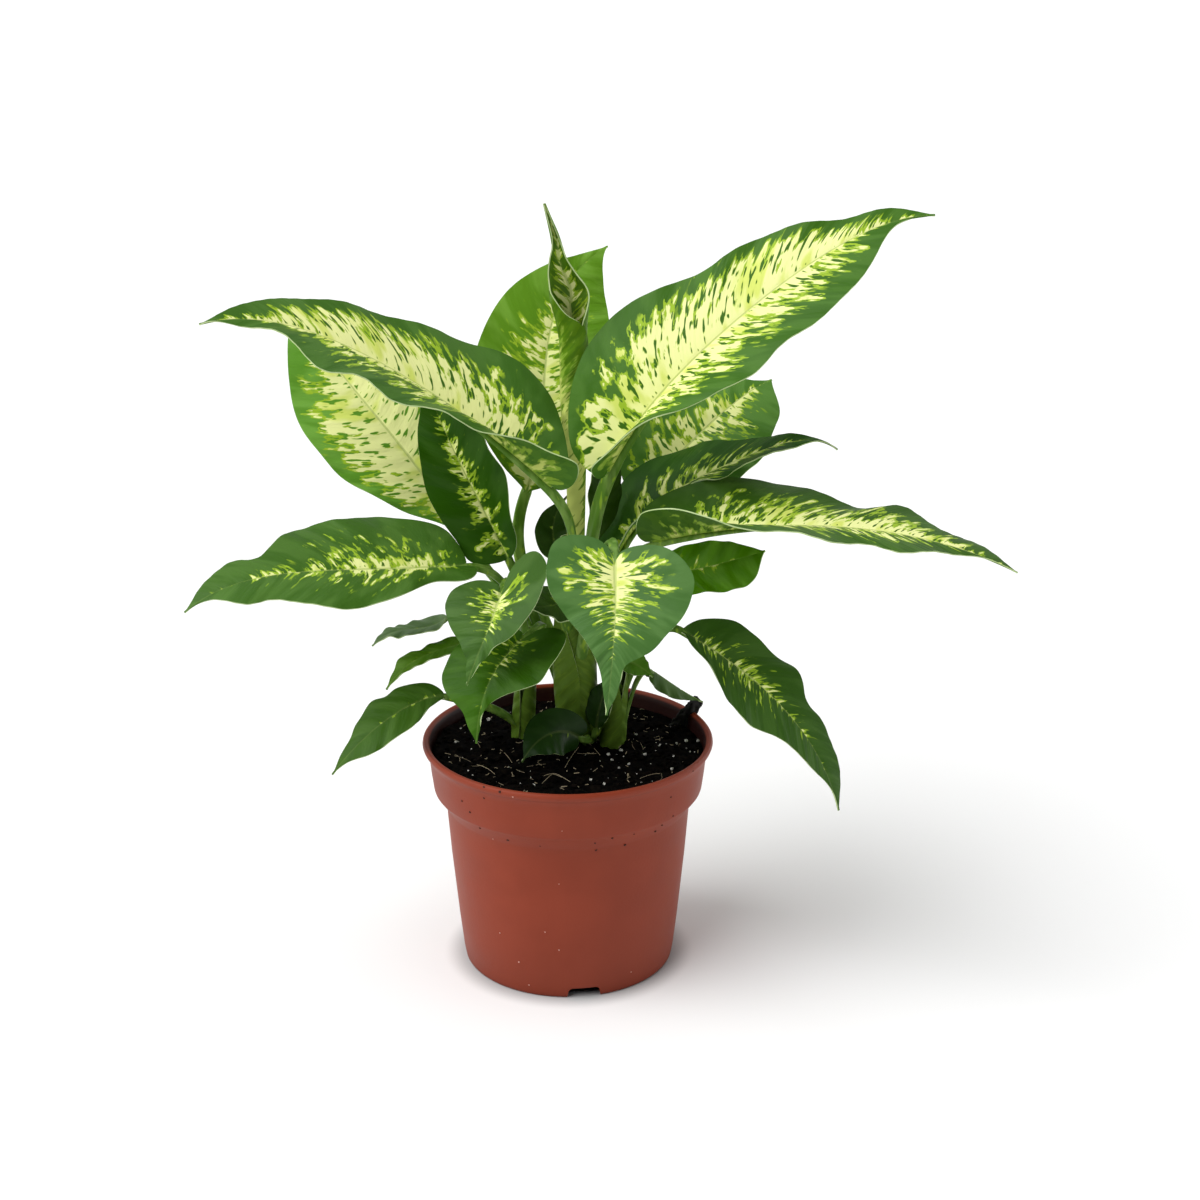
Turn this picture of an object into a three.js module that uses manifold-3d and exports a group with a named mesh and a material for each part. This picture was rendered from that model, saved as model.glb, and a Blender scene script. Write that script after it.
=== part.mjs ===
// A potted dieffenbachia: a plastic nursery pot filled with peat, three canes and their leaves.
// Millimetres, +Z up. The origin is the middle of the pot's flat base, and the front is -Y.

import * as THREE from 'three';
import Module from 'manifold-3d';

const wasm = await Module();
wasm.setup();

// Driving dimensions ---------------------------------------------------------------------------

const GAP = 0.3; // clearance between pieces that touch
const WALL = 1.4; // pot wall
const SIDES = 40; // facets round the pot and the soil

const POT_HEIGHT = 98;
const RIM_RADIUS = 60;
const LIP_HEIGHT = 3.5; // rounded lip round the mouth
const BAND_RADIUS = [57.6, 55.6]; // collar band, under the lip and at its lower edge
const BAND_BOTTOM = 77.4; // height of the band's lower edge
const STEP_BOTTOM = 71; // under the band the wall steps in down to here
const BODY_RADIUS = 50.8; // wall just under that step
const BEVEL = 0.8; // small bevel along the lip
const FOOT_RADIUS = 43.9;
const FOOT_ROUNDING = 1.4;

const NOTCH_WIDTH = 14; // drainage notches in the foot
const NOTCH_HEIGHT = 4.5;
const NOTCH_DEPTH = 9; // how far each notch reaches in from the wall
const NOTCH_CORNER = 1.6;
const NOTCH_SLANT = 1; // how far each side leans in on its way up
const NOTCH_COUNT = 3;
const NOTCH_FIRST = -81; // degrees, the one seen at the front right

const SOIL_HEIGHT = 93;
const SOIL_TILT = 0.035; // the soil is a little higher at the front and the left
const SOIL_RELIEF = 1.2; // crumbs and hollows on the soil's surface

const BLADE = 0.8; // leaf thickness
const KEEL = 1.1; // extra depth of the midrib under the blade, at its base
const NECK = 0.14; // share of the midrib along which the petiole runs out under the blade
const NECK_TIP = 0.6; // radius at which the petiole ends there
const VEIN_SWEEP = 0.15; // how far the veins lean towards the tip, as a share of the length
const VEIN_CURVE = 1.4; // how late a vein bends towards the tip
const TIP = 0.4; // half the width of the blade at its very tip

// The canes: a list of centres from the soil up, with the radius at the bottom and at the top.
const CANE_ROOT = 52; // how deep the canes go, as a height above the base
const CANES = {
  cane_main: { path: [[4, 10, CANE_ROOT], [4, 10, 90], [3, 8, 125], [3, 7, 152]], radius: [8.6, 5.4] },
  cane_left: {
    path: [[-20, 13, CANE_ROOT], [-19, 12, 90], [-17, 10, 118], [-16, 9, 138]], radius: [3.6, 2.8],
  },
  cane_right: { path: [[19, 7, CANE_ROOT], [19, 6, 90], [20, 5, 120], [21, 4, 146]], radius: [4.2, 3.2] },
};

// The leaves. Pairs are [left, right], seen from above with the tip ahead.
//   kind      pale_leaf where it is mostly cream, or else green_leaf
//   root      where the petiole leaves its cane, and rise the direction it leaves in
//   pull      how far the petiole keeps those directions, as a share of its span
//   stalk     petiole radius at the cane and at the blade
//   rib       evenly spaced points of the midrib, from the collar, where the blade starts, to the tip
//   face      the direction that the upper side looks in
//   sides     reach of each half from the midrib, at every tenth of the length
//   width     where there are no sides: twice the widest reach of each half
//   belly     where the half is widest: lower is nearer the collar
//   tail      how drawn out the tip is
//   lobe      how far the base reaches back past the collar, as a share of the length
//   fold      degrees that each half is raised at the collar
//   open      degrees that each half is raised at the tip
//   relax     how quickly fold gives way to open
//   wave      height of the margin's waves, with waves along the length and a phase for each half
//   curl      degrees that each half turns through from the midrib to the margin, upwards if positive
//   seat      how deep the petiole's middle line lies under the midrib, as a share of its radius
//   rows, columns  how finely the blade is split
const LEAF = {
  kind: 'green_leaf', rise: [0, 0, 1], pull: 0.35, stalk: [2.2, 1.5], sides: null,
  belly: [0.72, 0.72], tail: 1, lobe: [0.1, 0.1], fold: [25, 25], open: [10, 10], relax: 2,
  curl: -17, seat: 0.6, wave: [1.2, 1.2], waves: 4, phase: [0, 0.4], rows: 10, columns: 6,
};

const LEAVES = {
  leaf_upper_left: {
    kind: 'pale_leaf', root: [0, 4, 132], rise: [-0.1, -0.25, 1], stalk: [2.8, 2.1],
    face: [0.3, -0.4, 0.9],
    rib: [[-6, -14, 209], [-34.5, -13, 234], [-66.5, -17, 257], [-100.5, -25, 274.7], [-135, -38, 279]],
    sides: [[20, 18, 22, 28, 27, 26.5, 25, 11.5, 3], [15, 32, 37, 30.5, 26.5, 22, 18, 12.3, 6.3]],
    lobe: [0.1, 0.08], fold: [95, 34], open: [20, 20], relax: 3.5, wave: [2.2, 0.8], waves: 5,
    phase: [0.25, 0.9], rows: 20,
  },
  leaf_behind_upper_left: {
    kind: 'pale_leaf', root: [-1, 13, 118], rise: [-0.4, 0.2, 1], stalk: [2.2, 1.7],
    face: [0.1, -0.8, 0.6],
    rib: [[-44, 20, 181], [-65, 28, 210], [-90, 38, 239], [-113, 52, 266]], lobe: [0.04, 0.04],
    fold: [15, 15],
    sides: [[6, 15, 22, 27, 28.5, 28.5, 24.5, 18, 9.5], [11, 20, 26, 30, 31, 30, 26, 19.5, 11]], rows: 12,
  },
  leaf_dark_left: {
    root: [-2, 10, 112], rise: [-0.3, 0, 1], stalk: [2.2, 1.6], face: [-0.1, -0.9, 0.45],
    rib: [[-24, 7, 173], [-37.5, 10, 201], [-49, 14, 225], [-57, 20, 247]], lobe: [0.05, 0.05],
    fold: [20, 55], open: [10, 45],
    sides: [[14, 15.5, 17.5, 17.5, 16, 13.5, 10.5, 6.5, 3], [8, 13, 17, 19, 18, 16, 12, 8, 4]], rows: 11,
  },
  leaf_upright_back: {
    kind: 'pale_leaf', root: [-2, 13, 122], rise: [-0.3, 0.1, 1], stalk: [2.6, 2.1], pull: 0.4,
    rib: [[-17, 26, 195], [-10, 34, 232], [-5, 44, 266], [16.5, 53, 291.5]], face: [0.05, -0.95, 0.3],
    sides: [[14, 23, 27.5, 29, 28.5, 25.5, 20, 12.5, 4.5], [12, 21, 26, 28, 28, 26, 23, 18.5, 11]],
    lobe: [0.02, 0.02], fold: [20, 20], rows: 12,
  },
  leaf_spear: {
    kind: 'pale_leaf', root: [3, 7, 152], rise: [0, 0.1, 1], stalk: [3.3, 5.6], seat: -1,
    rib: [[2, 13, 246], [1, 13, 270], [-2, 11, 293], [-7, 7, 317]], face: [-0.1, -1, 0.2],
    width: [27, 27], belly: [0.7, 0.7], tail: 3.5, lobe: [0, 0], fold: [0, 0], open: [0, 0], curl: 100,
    wave: [0, 0], rows: 12, columns: 8,
  },
  leaf_upper_right: {
    kind: 'pale_leaf', root: [7, 4, 140], rise: [0.1, -0.2, 1], stalk: [3.4, 2.6], face: [-0.3, -0.7, 0.6],
    rib: [[17, -9, 214], [40.5, -8, 249], [70.5, -4, 277], [105, 2, 300.7], [142, 6, 312]],
    sides: [[20, 33, 36.5, 31.5, 24.5, 23, 17, 9.2, 5.6], [15, 15, 24, 28, 25, 24, 22, 13.5, 2]],
    lobe: [0.08, 0.08], fold: [34, 102], open: [15, 14], relax: 4, wave: [1.5, 1], waves: 5.9,
    phase: [0, 0.12], rows: 22,
  },
  leaf_behind_upper_right: {
    kind: 'pale_leaf', root: [6, 12, 134], rise: [0.2, 0.3, 1], stalk: [2.2, 1.7], face: [-0.2, -0.8, 0.6],
    rib: [[30, 30, 194], [49, 38, 211], [67, 46, 226], [85, 56, 235]],
    sides: [[12, 21, 26, 27, 26, 22, 17, 10, 3.5], [12, 20, 26, 28, 28, 26.5, 23.5, 19, 14]], rows: 10,
  },
  leaf_right: {
    root: [8, 8, 126], rise: [0.2, 0, 1], stalk: [2.2, 1.7], face: [-0.2, -0.15, 1], fold: [45, 60],
    open: [20, 14], relax: 4,
    rib: [
      [20.7, 12, 172.3], [32.6, 12.5, 190.2], [49, 13, 202.7], [66.6, 10.5, 212.3], [86.5, 5, 221.5],
      [107.2, 0, 220.4],
    ],
    lobe: [0.14, 0.05],
    sides: [[10, 17, 23, 24, 20.5, 15, 10.5, 5.5, 2.5], [5, 8, 9.5, 9.5, 10.5, 12, 12, 7, 2]], rows: 13,
  },
  leaf_long_right: {
    kind: 'pale_leaf', root: [21, 4, 140], rise: [0, -0.2, 1], stalk: [2.2, 1.7], face: [0.1, -0.1, 1],
    rib: [[34, -20, 188.3], [67.5, -24, 195.5], [102.5, -30, 198], [138, -35.5, 194.6], [174, -38, 182]],
    sides: [[17, 26.5, 34, 30, 24, 20.5, 24, 13.5, 10], [17, 23.5, 22, 19, 21, 15.5, 19.5, 7.5, 1.2]],
    fold: [45, 76], open: [10, 8], relax: 3.2, wave: [1, 1], phase: [0.5, 0.4], rows: 14,
  },
  leaf_small_right: {
    root: [22, 7, 126], rise: [0.2, 0.4, 1], stalk: [1.7, 1.3], face: [0, -0.8, 0.6], fold: [10, 10],
    wave: [0.7, 0.7],
    rib: [[35, 16, 163], [50, 12, 166], [65, 8, 171], [80, 4, 177]],
    sides: [[7, 9, 10.5, 11, 11, 10, 8.5, 6, 3], [6, 8.5, 10, 10.5, 11, 12, 12.5, 12, 8.5]], rows: 8,
  },
  leaf_front_heart: {
    kind: 'pale_leaf', root: [5, 2, 128], rise: [0.1, -0.5, 1], stalk: [2.2, 1.7], pull: 0.4,
    face: [0, -0.8, 0.6],
    rib: [[19, -40, 188], [19, -56, 172], [18, -66, 157], [15.8, -70, 136]],
    sides: [[20, 29.5, 29, 26, 19.5, 14, 5.5, 4, 2.5], [21, 26.5, 25.5, 19, 13.5, 9.5, 5.7, 3.2, 2]],
    lobe: [0.13, 0.2], fold: [20, 20], waves: 3, rows: 13,
  },
  leaf_left: {
    root: [-17, 8, 132], rise: [-0.1, -0.1, 1], stalk: [2.2, 1.8], face: [0.1, -0.3, 0.95],
    rib: [[-40, -8, 175], [-67.5, -14, 175.5], [-95.5, -21, 177], [-123, -28.5, 175.7], [-148, -36, 165]],
    sides: [[11, 10, 21, 24.5, 26.5, 21, 14.5, 15, 2.5], [19.5, 27, 32, 29.5, 29.5, 24, 12.5, 14, 7]],
    lobe: [0.1, 0.05], fold: [14, 20], open: [10, 10], wave: [1, 1], phase: [0, 0.6], rows: 14,
  },
  leaf_small_heart: {
    root: [-16, 6, 124], rise: [0, -0.5, 1], stalk: [1.9, 1.4], face: [-0.2, -0.7, 0.7], wave: [0.7, 0.7],
    rib: [[-25, -34, 173], [-28.5, -44, 164], [-33, -50, 154], [-38, -52, 141]], lobe: [0.45, 0.15],
    fold: [30, 25],
    sides: [[13, 20, 18.5, 13.5, 9.5, 5.5, 3.2, 2.2, 1], [11, 18, 19.5, 18.5, 16, 12, 7.2, 3.7, 1.9]],
    rows: 10,
  },
  leaf_low_front: {
    root: [-14, 7, 130], rise: [0.2, -0.2, 1], stalk: [1.8, 1.4], pull: 0.5, face: [-0.2, -0.7, 0.7],
    rib: [[-17, -24, 150], [-26, -36, 143.5], [-32, -45, 133], [-35, -48, 115]], lobe: [0.3, 0.1],
    fold: [20, 20], wave: [0.8, 0.8],
    sides: [[13, 18, 20, 19.5, 16, 9, 3.2, 1.5, 0.9], [9, 14.5, 17.5, 19, 19.5, 19, 16, 8, 4]], rows: 10,
  },
  leaf_lower_left: {
    root: [-21, 10, 98], rise: [-0.5, -0.3, 0.8], stalk: [1.9, 1.3], face: [-0.5, -0.7, 0.5],
    rib: [[-50, -4, 117], [-61, -10, 117], [-77, -18, 109], [-95, -24, 91]],
    sides: [[1.8, 3.4, 5.6, 8.2, 10, 9.9, 9.1, 7.8, 2.3], [3.4, 7, 9, 9.8, 9.8, 11.2, 8.6, 5.4, 2.7]],
    lobe: [0.02, 0.02], fold: [10, 10], wave: [0.5, 0.5], rows: 9,
  },
  leaf_thin_left: {
    root: [-20, 11, 110], rise: [-0.3, 0, 1], stalk: [1.5, 1], face: [0, -0.3, 0.9],
    rib: [[-43, 6, 137], [-53, 4, 134], [-64, 0, 130], [-74, -4, 120]],
    sides: [[4, 5, 4.6, 4, 4, 3.9, 2.6, 2, 1], [4, 5.4, 5.5, 4.8, 4.4, 5.2, 6, 4, 1.6]],
    lobe: [0.05, 0.05], fold: [12, 12], wave: [0.3, 0.3], rows: 8, columns: 4,
  },
  leaf_edge_left: {
    root: [-19, 13, 120], rise: [-0.3, 0.2, 1], stalk: [1.5, 1], face: [0, -0.1, 1],
    rib: [[-50, 14, 145], [-60, 12, 141], [-70, 8, 141], [-80, 4, 136]],
    sides: [[4.5, 5.4, 5.5, 4.4, 5.7, 6.6, 5, 3.5, 1], [4.9, 6.9, 7.8, 6.3, 4.9, 5, 3.5, 4.4, 1.9]],
    lobe: [0.05, 0.05], fold: [12, 12], wave: [0.7, 0.7], rows: 8, columns: 4,
  },
  leaf_lower_right: {
    root: [23, 4, 116], rise: [0.3, 0, 1], stalk: [1.9, 1.5], face: [0.5, -0.7, 0.5],
    rib: [[47, -2, 145], [71, -12, 131], [94, -22, 110], [110, -28, 77]],
    sides: [[9, 16, 16, 15.5, 17, 11, 10.8, 8.5, 6], [4, 7.5, 12, 17, 18.5, 13, 9.2, 6, 1.4]],
    lobe: [0.05, 0.02], fold: [20, 20], wave: [0.6, 0.6], rows: 11,
  },
  leaf_at_soil: {
    root: [7, 3, 95], rise: [0.6, -0.7, 0.6], stalk: [1.6, 1.2],
    rib: [[5, -14, 103], [-4, -20, 108], [-12, -26, 106], [-18, -30, 99]], face: [-0.1, -0.8, 0.5],
    width: [20, 20], fold: [5, 5], wave: [0.4, 0.4], rows: 8, columns: 4,
  },
  leaf_drooping_right: {
    root: [22, 4, 96], rise: [0.2, -0.1, 1], stalk: [1.4, 0.9],
    rib: [[35, 10, 123], [40, 14, 118], [48, 20, 110], [57, 26, 102.5]], face: [0.3, -0.2, 0.9],
    width: [12, 12], fold: [-50, -50], open: [-40, -40], wave: [0.3, 0.3], rows: 6, columns: 4,
  },
  leaf_tiny_right: {
    root: [22, 4, 116], rise: [0, -0.2, 1], stalk: [1.3, 0.9],
    rib: [[22, -1, 131], [27, -3, 131], [31, -4, 129], [35, -5, 126]], face: [0, -0.7, 0.7],
    width: [10, 10], fold: [10, 10], wave: [0.2, 0.2], rows: 6, columns: 4,
  },
  leaf_bud_right: {
    root: [9, 3, 94], rise: [0.2, -0.3, 1], stalk: [1.8, 1.4], pull: 0.2,
    rib: [[12, -2, 102], [13, -2, 110], [15, -2, 118], [17, -2, 125]], face: [-0.5, -0.9, 0.3],
    width: [13, 11], belly: [0.8, 0.8], lobe: [0, 0], fold: [20, 20], wave: [0.3, 0.3], rows: 6, columns: 4,
  },
  leaf_inner_left: {
    root: [2, 13, 128], rise: [0, 0.4, 1], stalk: [1.6, 1.2],
    rib: [[-4, 20, 170], [-6, 24, 177], [-5, 26, 185], [0, 28, 193]], face: [0, -0.9, 0.4],
    width: [15, 15], wave: [0.4, 0.4], rows: 7, columns: 4,
  },
  leaf_inner_right: {
    root: [7, 10, 142], rise: [0.1, 0.1, 1], stalk: [1.8, 1.4],
    rib: [[11, 13, 178], [14.5, 16.5, 191], [16, 20.5, 204], [19.5, 24, 219]], face: [0.5, -0.9, 0.3],
    width: [15, 15], belly: [1, 1], tail: 0.3, lobe: [0, 0], fold: [10, 10], wave: [0.4, 0.4],
    rows: 7, columns: 4,
  },
  leaf_inner_front: {
    root: [1, 4, 122], rise: [0, -0.3, 1], stalk: [1.6, 1.2],
    rib: [[3, -6, 160], [-3, -12, 160], [-8, -18, 161], [-15, -24, 163]], face: [0, -0.5, 0.9],
    width: [26, 26], belly: [0.8, 0.8], tail: 0.3, lobe: [0.05, 0.05], fold: [10, 10], wave: [0.5, 0.5],
    rows: 7, columns: 4,
  },
};

// Materials ------------------------------------------------------------------------------------

const COLOURS = {
  pot: { color: '#9c5240', roughness: 0.6 },
  soil: { color: '#1b1712', roughness: 1 },
  cane: { color: '#3c5418', roughness: 0.5 },
  pale_leaf: { color: '#88a158', roughness: 0.4 },
  green_leaf: { color: '#4d7031', roughness: 0.4 },
};

function material(kind) {
  return new THREE.MeshStandardMaterial({ ...COLOURS[kind], metalness: 0 });
}

// Solids ---------------------------------------------------------------------------------------

const vector = (xyz) => new THREE.Vector3(...xyz);
const radians = THREE.MathUtils.degToRad;
const mix = THREE.MathUtils.lerp;
const clamp = THREE.MathUtils.clamp;

// Makes a solid of a list of points and a list of triangles over them.
function solidOf(points, triangles) {
  const vertProperties = new Float32Array(points.flatMap((point) => point.toArray()));
  const triVerts = new Uint32Array(triangles.flat());
  return new wasm.Manifold(new wasm.Mesh({ numProp: 3, vertProperties, triVerts }));
}

function meshOf(name, solid, kind) {
  const whole = solid.decompose().sort((a, b) => b.volume() - a.volume())[0];
  const { vertProperties, triVerts } = whole.getMesh();
  const geometry = new THREE.BufferGeometry();
  geometry.setAttribute('position', new THREE.BufferAttribute(new Float32Array(vertProperties), 3));
  geometry.setIndex(new THREE.BufferAttribute(new Uint32Array(triVerts), 1));
  geometry.computeVertexNormals();
  const mesh = new THREE.Mesh(geometry, material(kind));
  mesh.name = name;
  return mesh;
}

// Joins rings of points, each with the same count, into a closed solid with flat or pointed ends.
function loft(rings) {
  const points = rings.flat();
  const count = rings[0].length;
  const triangles = [];
  for (let i = 0; i + 1 < rings.length; i++) {
    for (let j = 0; j < count; j++) {
      const a = i * count + j;
      const b = i * count + ((j + 1) % count);
      triangles.push([a, b, b + count], [a, b + count, a + count]);
    }
  }
  const last = points.length - count;
  for (let j = 1; j + 1 < count; j++) {
    triangles.push([0, j + 1, j], [last, last + j, last + j + 1]);
  }
  return solidOf(points, triangles);
}

// A round stem along a list of centres, with a radius for each.
function stem(centres, radii, sides) {
  const side = new THREE.Vector3(1, 0, 0);
  const rings = centres.map((centre, i) => {
    const before = centres[Math.max(i - 1, 0)];
    const after = centres[Math.min(i + 1, centres.length - 1)];
    const along = after.clone().sub(before).normalize();
    side.addScaledVector(along, -side.dot(along)).normalize();
    const other = along.clone().cross(side);
    return Array.from({ length: sides }, (_, k) => {
      const angle = (2 * Math.PI * k) / sides;
      return centre.clone()
        .addScaledVector(side, radii[i] * Math.cos(angle))
        .addScaledVector(other, radii[i] * Math.sin(angle));
    });
  });
  return loft(rings);
}

// Turns a list of [radius, height] round the axis; heightAt can lift single points.
function turned(profile, heightAt = (radius, height) => height) {
  const rings = profile.map(([radius, height]) => Array.from({ length: SIDES }, (_, k) => {
    const angle = (2 * Math.PI * k) / SIDES;
    return new THREE.Vector3(
      radius * Math.cos(angle), radius * Math.sin(angle), heightAt(radius, height, angle),
    );
  }));
  return loft(rings);
}

// Canes ----------------------------------------------------------------------------------------

const CANE_STEPS = 9;

function cane({ path, radius }, extra = 0) {
  const curve = new THREE.CatmullRomCurve3(path.map(vector));
  const centres = curve.getPoints(CANE_STEPS);
  const radii = centres.map((_, i) => {
    const node = i % 2 ? 0 : 0.35; // a slightly thicker ring at each leaf scar
    return mix(radius[0], radius[1], i / CANE_STEPS) + node + extra;
  });
  return stem(centres, radii, 10);
}

// Leaves ---------------------------------------------------------------------------------------

// The curve through evenly spaced points, by Lagrange's formula.
function through(points, s) {
  const last = points.length - 1;
  const result = new THREE.Vector3();
  points.forEach((point, i) => {
    let weight = 1;
    for (let j = 0; j <= last; j++) {
      if (j !== i) weight *= (s * last - j) / (i - j);
    }
    result.addScaledVector(point, weight);
  });
  return result;
}

// The smooth curve through evenly spaced values, at a place that counts from the first of them.
function smoothly(values, place) {
  const last = values.length - 1;
  const i = Math.min(Math.floor(place), last - 1);
  const x = place - i;
  const [p, q, r, s] = [-1, 0, 1, 2].map((j) => values[clamp(i + j, 0, last)]);
  return q + (x / 2) * (r - p + x * (2 * p - 5 * q + 4 * r - s + x * (3 * (q - r) + s - p)));
}

// How far a half of the blade reaches from the midrib, at a share u of its length.
function halfReach(leaf, u, k) {
  if (leaf.sides) return smoothly([0, ...leaf.sides[k], 0], 10 * clamp(u, 0, 1));
  const swell = Math.max(Math.sin(Math.PI * Math.min(u, 1) ** leaf.belly[k]), 0);
  return (leaf.width[k] / 2) * swell ** (0.85 + leaf.tail * u ** 4);
}

// The midrib's frame: a point, the way ahead, the way to the right and the upper side's direction.
function frameAt(leaf, s) {
  const rib = leaf.rib.map(vector);
  const near = clamp(s, 0, 1);
  const step = 1e-3;
  const speed = through(rib, near + step).sub(through(rib, near - step)).divideScalar(2 * step);
  const ahead = speed.clone().normalize();
  const point = through(rib, near).addScaledVector(speed, s - near);
  const up = vector(leaf.face);
  up.addScaledVector(ahead, -up.dot(ahead)).normalize();
  return { point, ahead, up, right: ahead.clone().cross(up) };
}

// A point of the blade and its surface direction. u runs from the collar to the tip along the
// margin, and t from -1 at the left margin over 0 on the midrib to 1 at the right one.
function bladeAt(leaf, u, t) {
  const k = t < 0 ? 0 : 1;
  const side = t < 0 ? -1 : 1;
  const out = Math.abs(t);
  const start = u - VEIN_SWEEP * Math.sin(Math.PI * u); // where this vein leaves the midrib
  const end = u - leaf.lobe[k] * 10 * u * Math.exp(1 - 10 * u); // where it meets the margin
  const along = start + (end - start) * out ** VEIN_CURVE;
  const turn = radians(leaf.curl);
  const bend = turn * out; // the half is an arc, and this is how far it has turned here
  const radius = Math.max(halfReach(leaf, u, k), TIP + (1 - u) ** 8) / turn;
  const across = radius * Math.sin(bend);

  const near = clamp(along, 0, 1);
  const raise = radians(mix(leaf.open[k], leaf.fold[k], (1 - near) ** leaf.relax));
  const ripple = leaf.wave[k] * Math.sqrt(Math.max(0, Math.sin(Math.PI * u)))
    * Math.sin(2 * Math.PI * (leaf.waves * u + leaf.phase[k]));
  const lift = radius * (1 - Math.cos(bend)) + ripple * out * out;
  const slope = raise + bend;

  const { point, up, right } = frameAt(leaf, along);
  point.addScaledVector(right, side * (across * Math.cos(raise) - lift * Math.sin(raise)));
  point.addScaledVector(up, across * Math.sin(raise) + lift * Math.cos(raise));
  const outward = up.clone();
  if (t !== 0) {
    outward.multiplyScalar(Math.cos(slope)).addScaledVector(right, -side * Math.sin(slope));
  }
  return { point, outward };
}

// The blade: two sheets of triangles, alike on both faces, closed round the margin.
function blade(leaf) {
  const { rows, columns } = leaf;
  const width = columns + 1;
  const upper = [];
  const lower = [];
  for (let i = 0; i <= rows; i++) {
    const u = mix(i / rows, (1 - Math.cos((Math.PI * i) / rows)) / 2, 0.5);
    for (let j = 0; j <= columns; j++) {
      const { point, outward } = bladeAt(leaf, u, (2 * j) / columns - 1);
      const keel = 2 * j === columns ? KEEL * (1 - u) : 0;
      upper.push(point.clone().addScaledVector(outward, BLADE / 2));
      lower.push(point.clone().addScaledVector(outward, -BLADE / 2 - keel));
    }
  }
  const under = upper.length;
  const triangles = [];
  const wall = (a, b) => triangles.push([a, b, b + under], [a, b + under, a + under]);
  for (let i = 0; i < rows; i++) {
    for (let j = 0; j < columns; j++) {
      const a = i * width + j;
      const [b, c, d] = [a + 1, a + width + 1, a + width];
      const pair = j < columns / 2 ? [[a, b, c], [a, c, d]] : [[a, b, d], [b, c, d]];
      pair.forEach(([p, q, r]) => triangles.push([p, q, r], [r + under, q + under, p + under]));
    }
    wall(i * width, (i + 1) * width);
    wall((i + 1) * width + columns, i * width + columns);
  }
  for (let j = 0; j < columns; j++) {
    wall(j + 1, j);
    wall(rows * width + j, rows * width + j + 1);
  }
  return solidOf([...upper, ...lower], triangles);
}

const PETIOLE_STEPS = 7;
const NECK_STEPS = 3;

// The petiole: a tapering stem from the cane to the collar, which runs out under the midrib.
function petiole(leaf, extra = 0) {
  const root = vector(leaf.root);
  const collar = frameAt(leaf, 0);
  const under = leaf.stalk[1] * leaf.seat;
  const end = collar.point.addScaledVector(collar.up, -under);
  const reach = leaf.pull * root.distanceTo(end);
  const leaving = root.clone().addScaledVector(vector(leaf.rise).normalize(), reach);
  const arriving = end.clone().addScaledVector(collar.ahead, -reach);
  const centres = new THREE.CubicBezierCurve3(root, leaving, arriving, end).getPoints(PETIOLE_STEPS);
  const radii = centres.map((_, i) => mix(leaf.stalk[0], leaf.stalk[1], i / PETIOLE_STEPS) + extra);
  for (let i = 1; i <= NECK_STEPS; i++) {
    const share = i / NECK_STEPS;
    const { point, up } = frameAt(leaf, NECK * share);
    centres.push(point.addScaledVector(up, -under));
    radii.push(mix(leaf.stalk[1], NECK_TIP, share) + extra);
  }
  return stem(centres, radii, 6);
}

// Each leaf keeps clear of the canes, and of the petioles of the leaves before it.
function leafSolids(leaves, canes) {
  const solids = [];
  const stalks = [];
  for (const leaf of leaves) {
    let solid = blade(leaf).add(petiole(leaf));
    for (const grown of [...canes, ...stalks]) solid = solid.subtract(grown);
    stalks.push(petiole(leaf, GAP));
    solids.push(solid);
  }
  return solids;
}

// Pot ------------------------------------------------------------------------------------------

const LIP_BOTTOM = POT_HEIGHT - LIP_HEIGHT;
const STEP_TOP = BAND_BOTTOM + WALL; // top of the step inside the band

// Outer and inner walls, as [radius, height] from the base up.
const OUTSIDE = [
  [FOOT_RADIUS - FOOT_ROUNDING, 0],
  [FOOT_RADIUS, FOOT_ROUNDING],
  [BODY_RADIUS, STEP_BOTTOM],
  [BAND_RADIUS[1], BAND_BOTTOM],
  [BAND_RADIUS[0], LIP_BOTTOM - LIP_HEIGHT],
  [RIM_RADIUS - BEVEL, LIP_BOTTOM],
  [RIM_RADIUS, LIP_BOTTOM + LIP_HEIGHT / 2],
  [RIM_RADIUS - BEVEL, POT_HEIGHT],
];

const INSIDE = [
  [FOOT_RADIUS - WALL, WALL],
  [BODY_RADIUS - WALL, STEP_BOTTOM + WALL],
  [BAND_RADIUS[1] - WALL, STEP_TOP],
  [BAND_RADIUS[0] - WALL, LIP_BOTTOM - LIP_HEIGHT],
  [RIM_RADIUS - 2 * WALL, POT_HEIGHT + 1],
];

// An arched tunnel, flat at the bottom, from the pot's foot in towards its middle.
function notch(angle, extra) {
  const half = NOTCH_WIDTH / 2 + extra;
  const top = NOTCH_HEIGHT + extra;
  const shape = new THREE.Shape();
  const side = half - NOTCH_SLANT;
  const shoulder = side - NOTCH_CORNER;
  shape.moveTo(-half, -1);
  shape.lineTo(half, -1);
  shape.lineTo(side, top - NOTCH_CORNER);
  shape.quadraticCurveTo(side, top, shoulder, top);
  shape.lineTo(-shoulder, top);
  shape.quadraticCurveTo(-side, top, -side, top - NOTCH_CORNER);
  const inner = FOOT_RADIUS - NOTCH_DEPTH - extra;
  const outer = FOOT_RADIUS + NOTCH_DEPTH;
  const outline = shape.getPoints(3);
  const at = (distance) => outline.map(({ x, y }) => new THREE.Vector3(
    distance * Math.cos(angle) - x * Math.sin(angle), distance * Math.sin(angle) + x * Math.cos(angle), y,
  ));
  return loft([at(inner), at(outer)]);
}

function notches(extra) {
  return Array.from({ length: NOTCH_COUNT }, (_, i) => (
    notch(radians(NOTCH_FIRST + (360 * i) / NOTCH_COUNT), extra)
  ));
}

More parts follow.
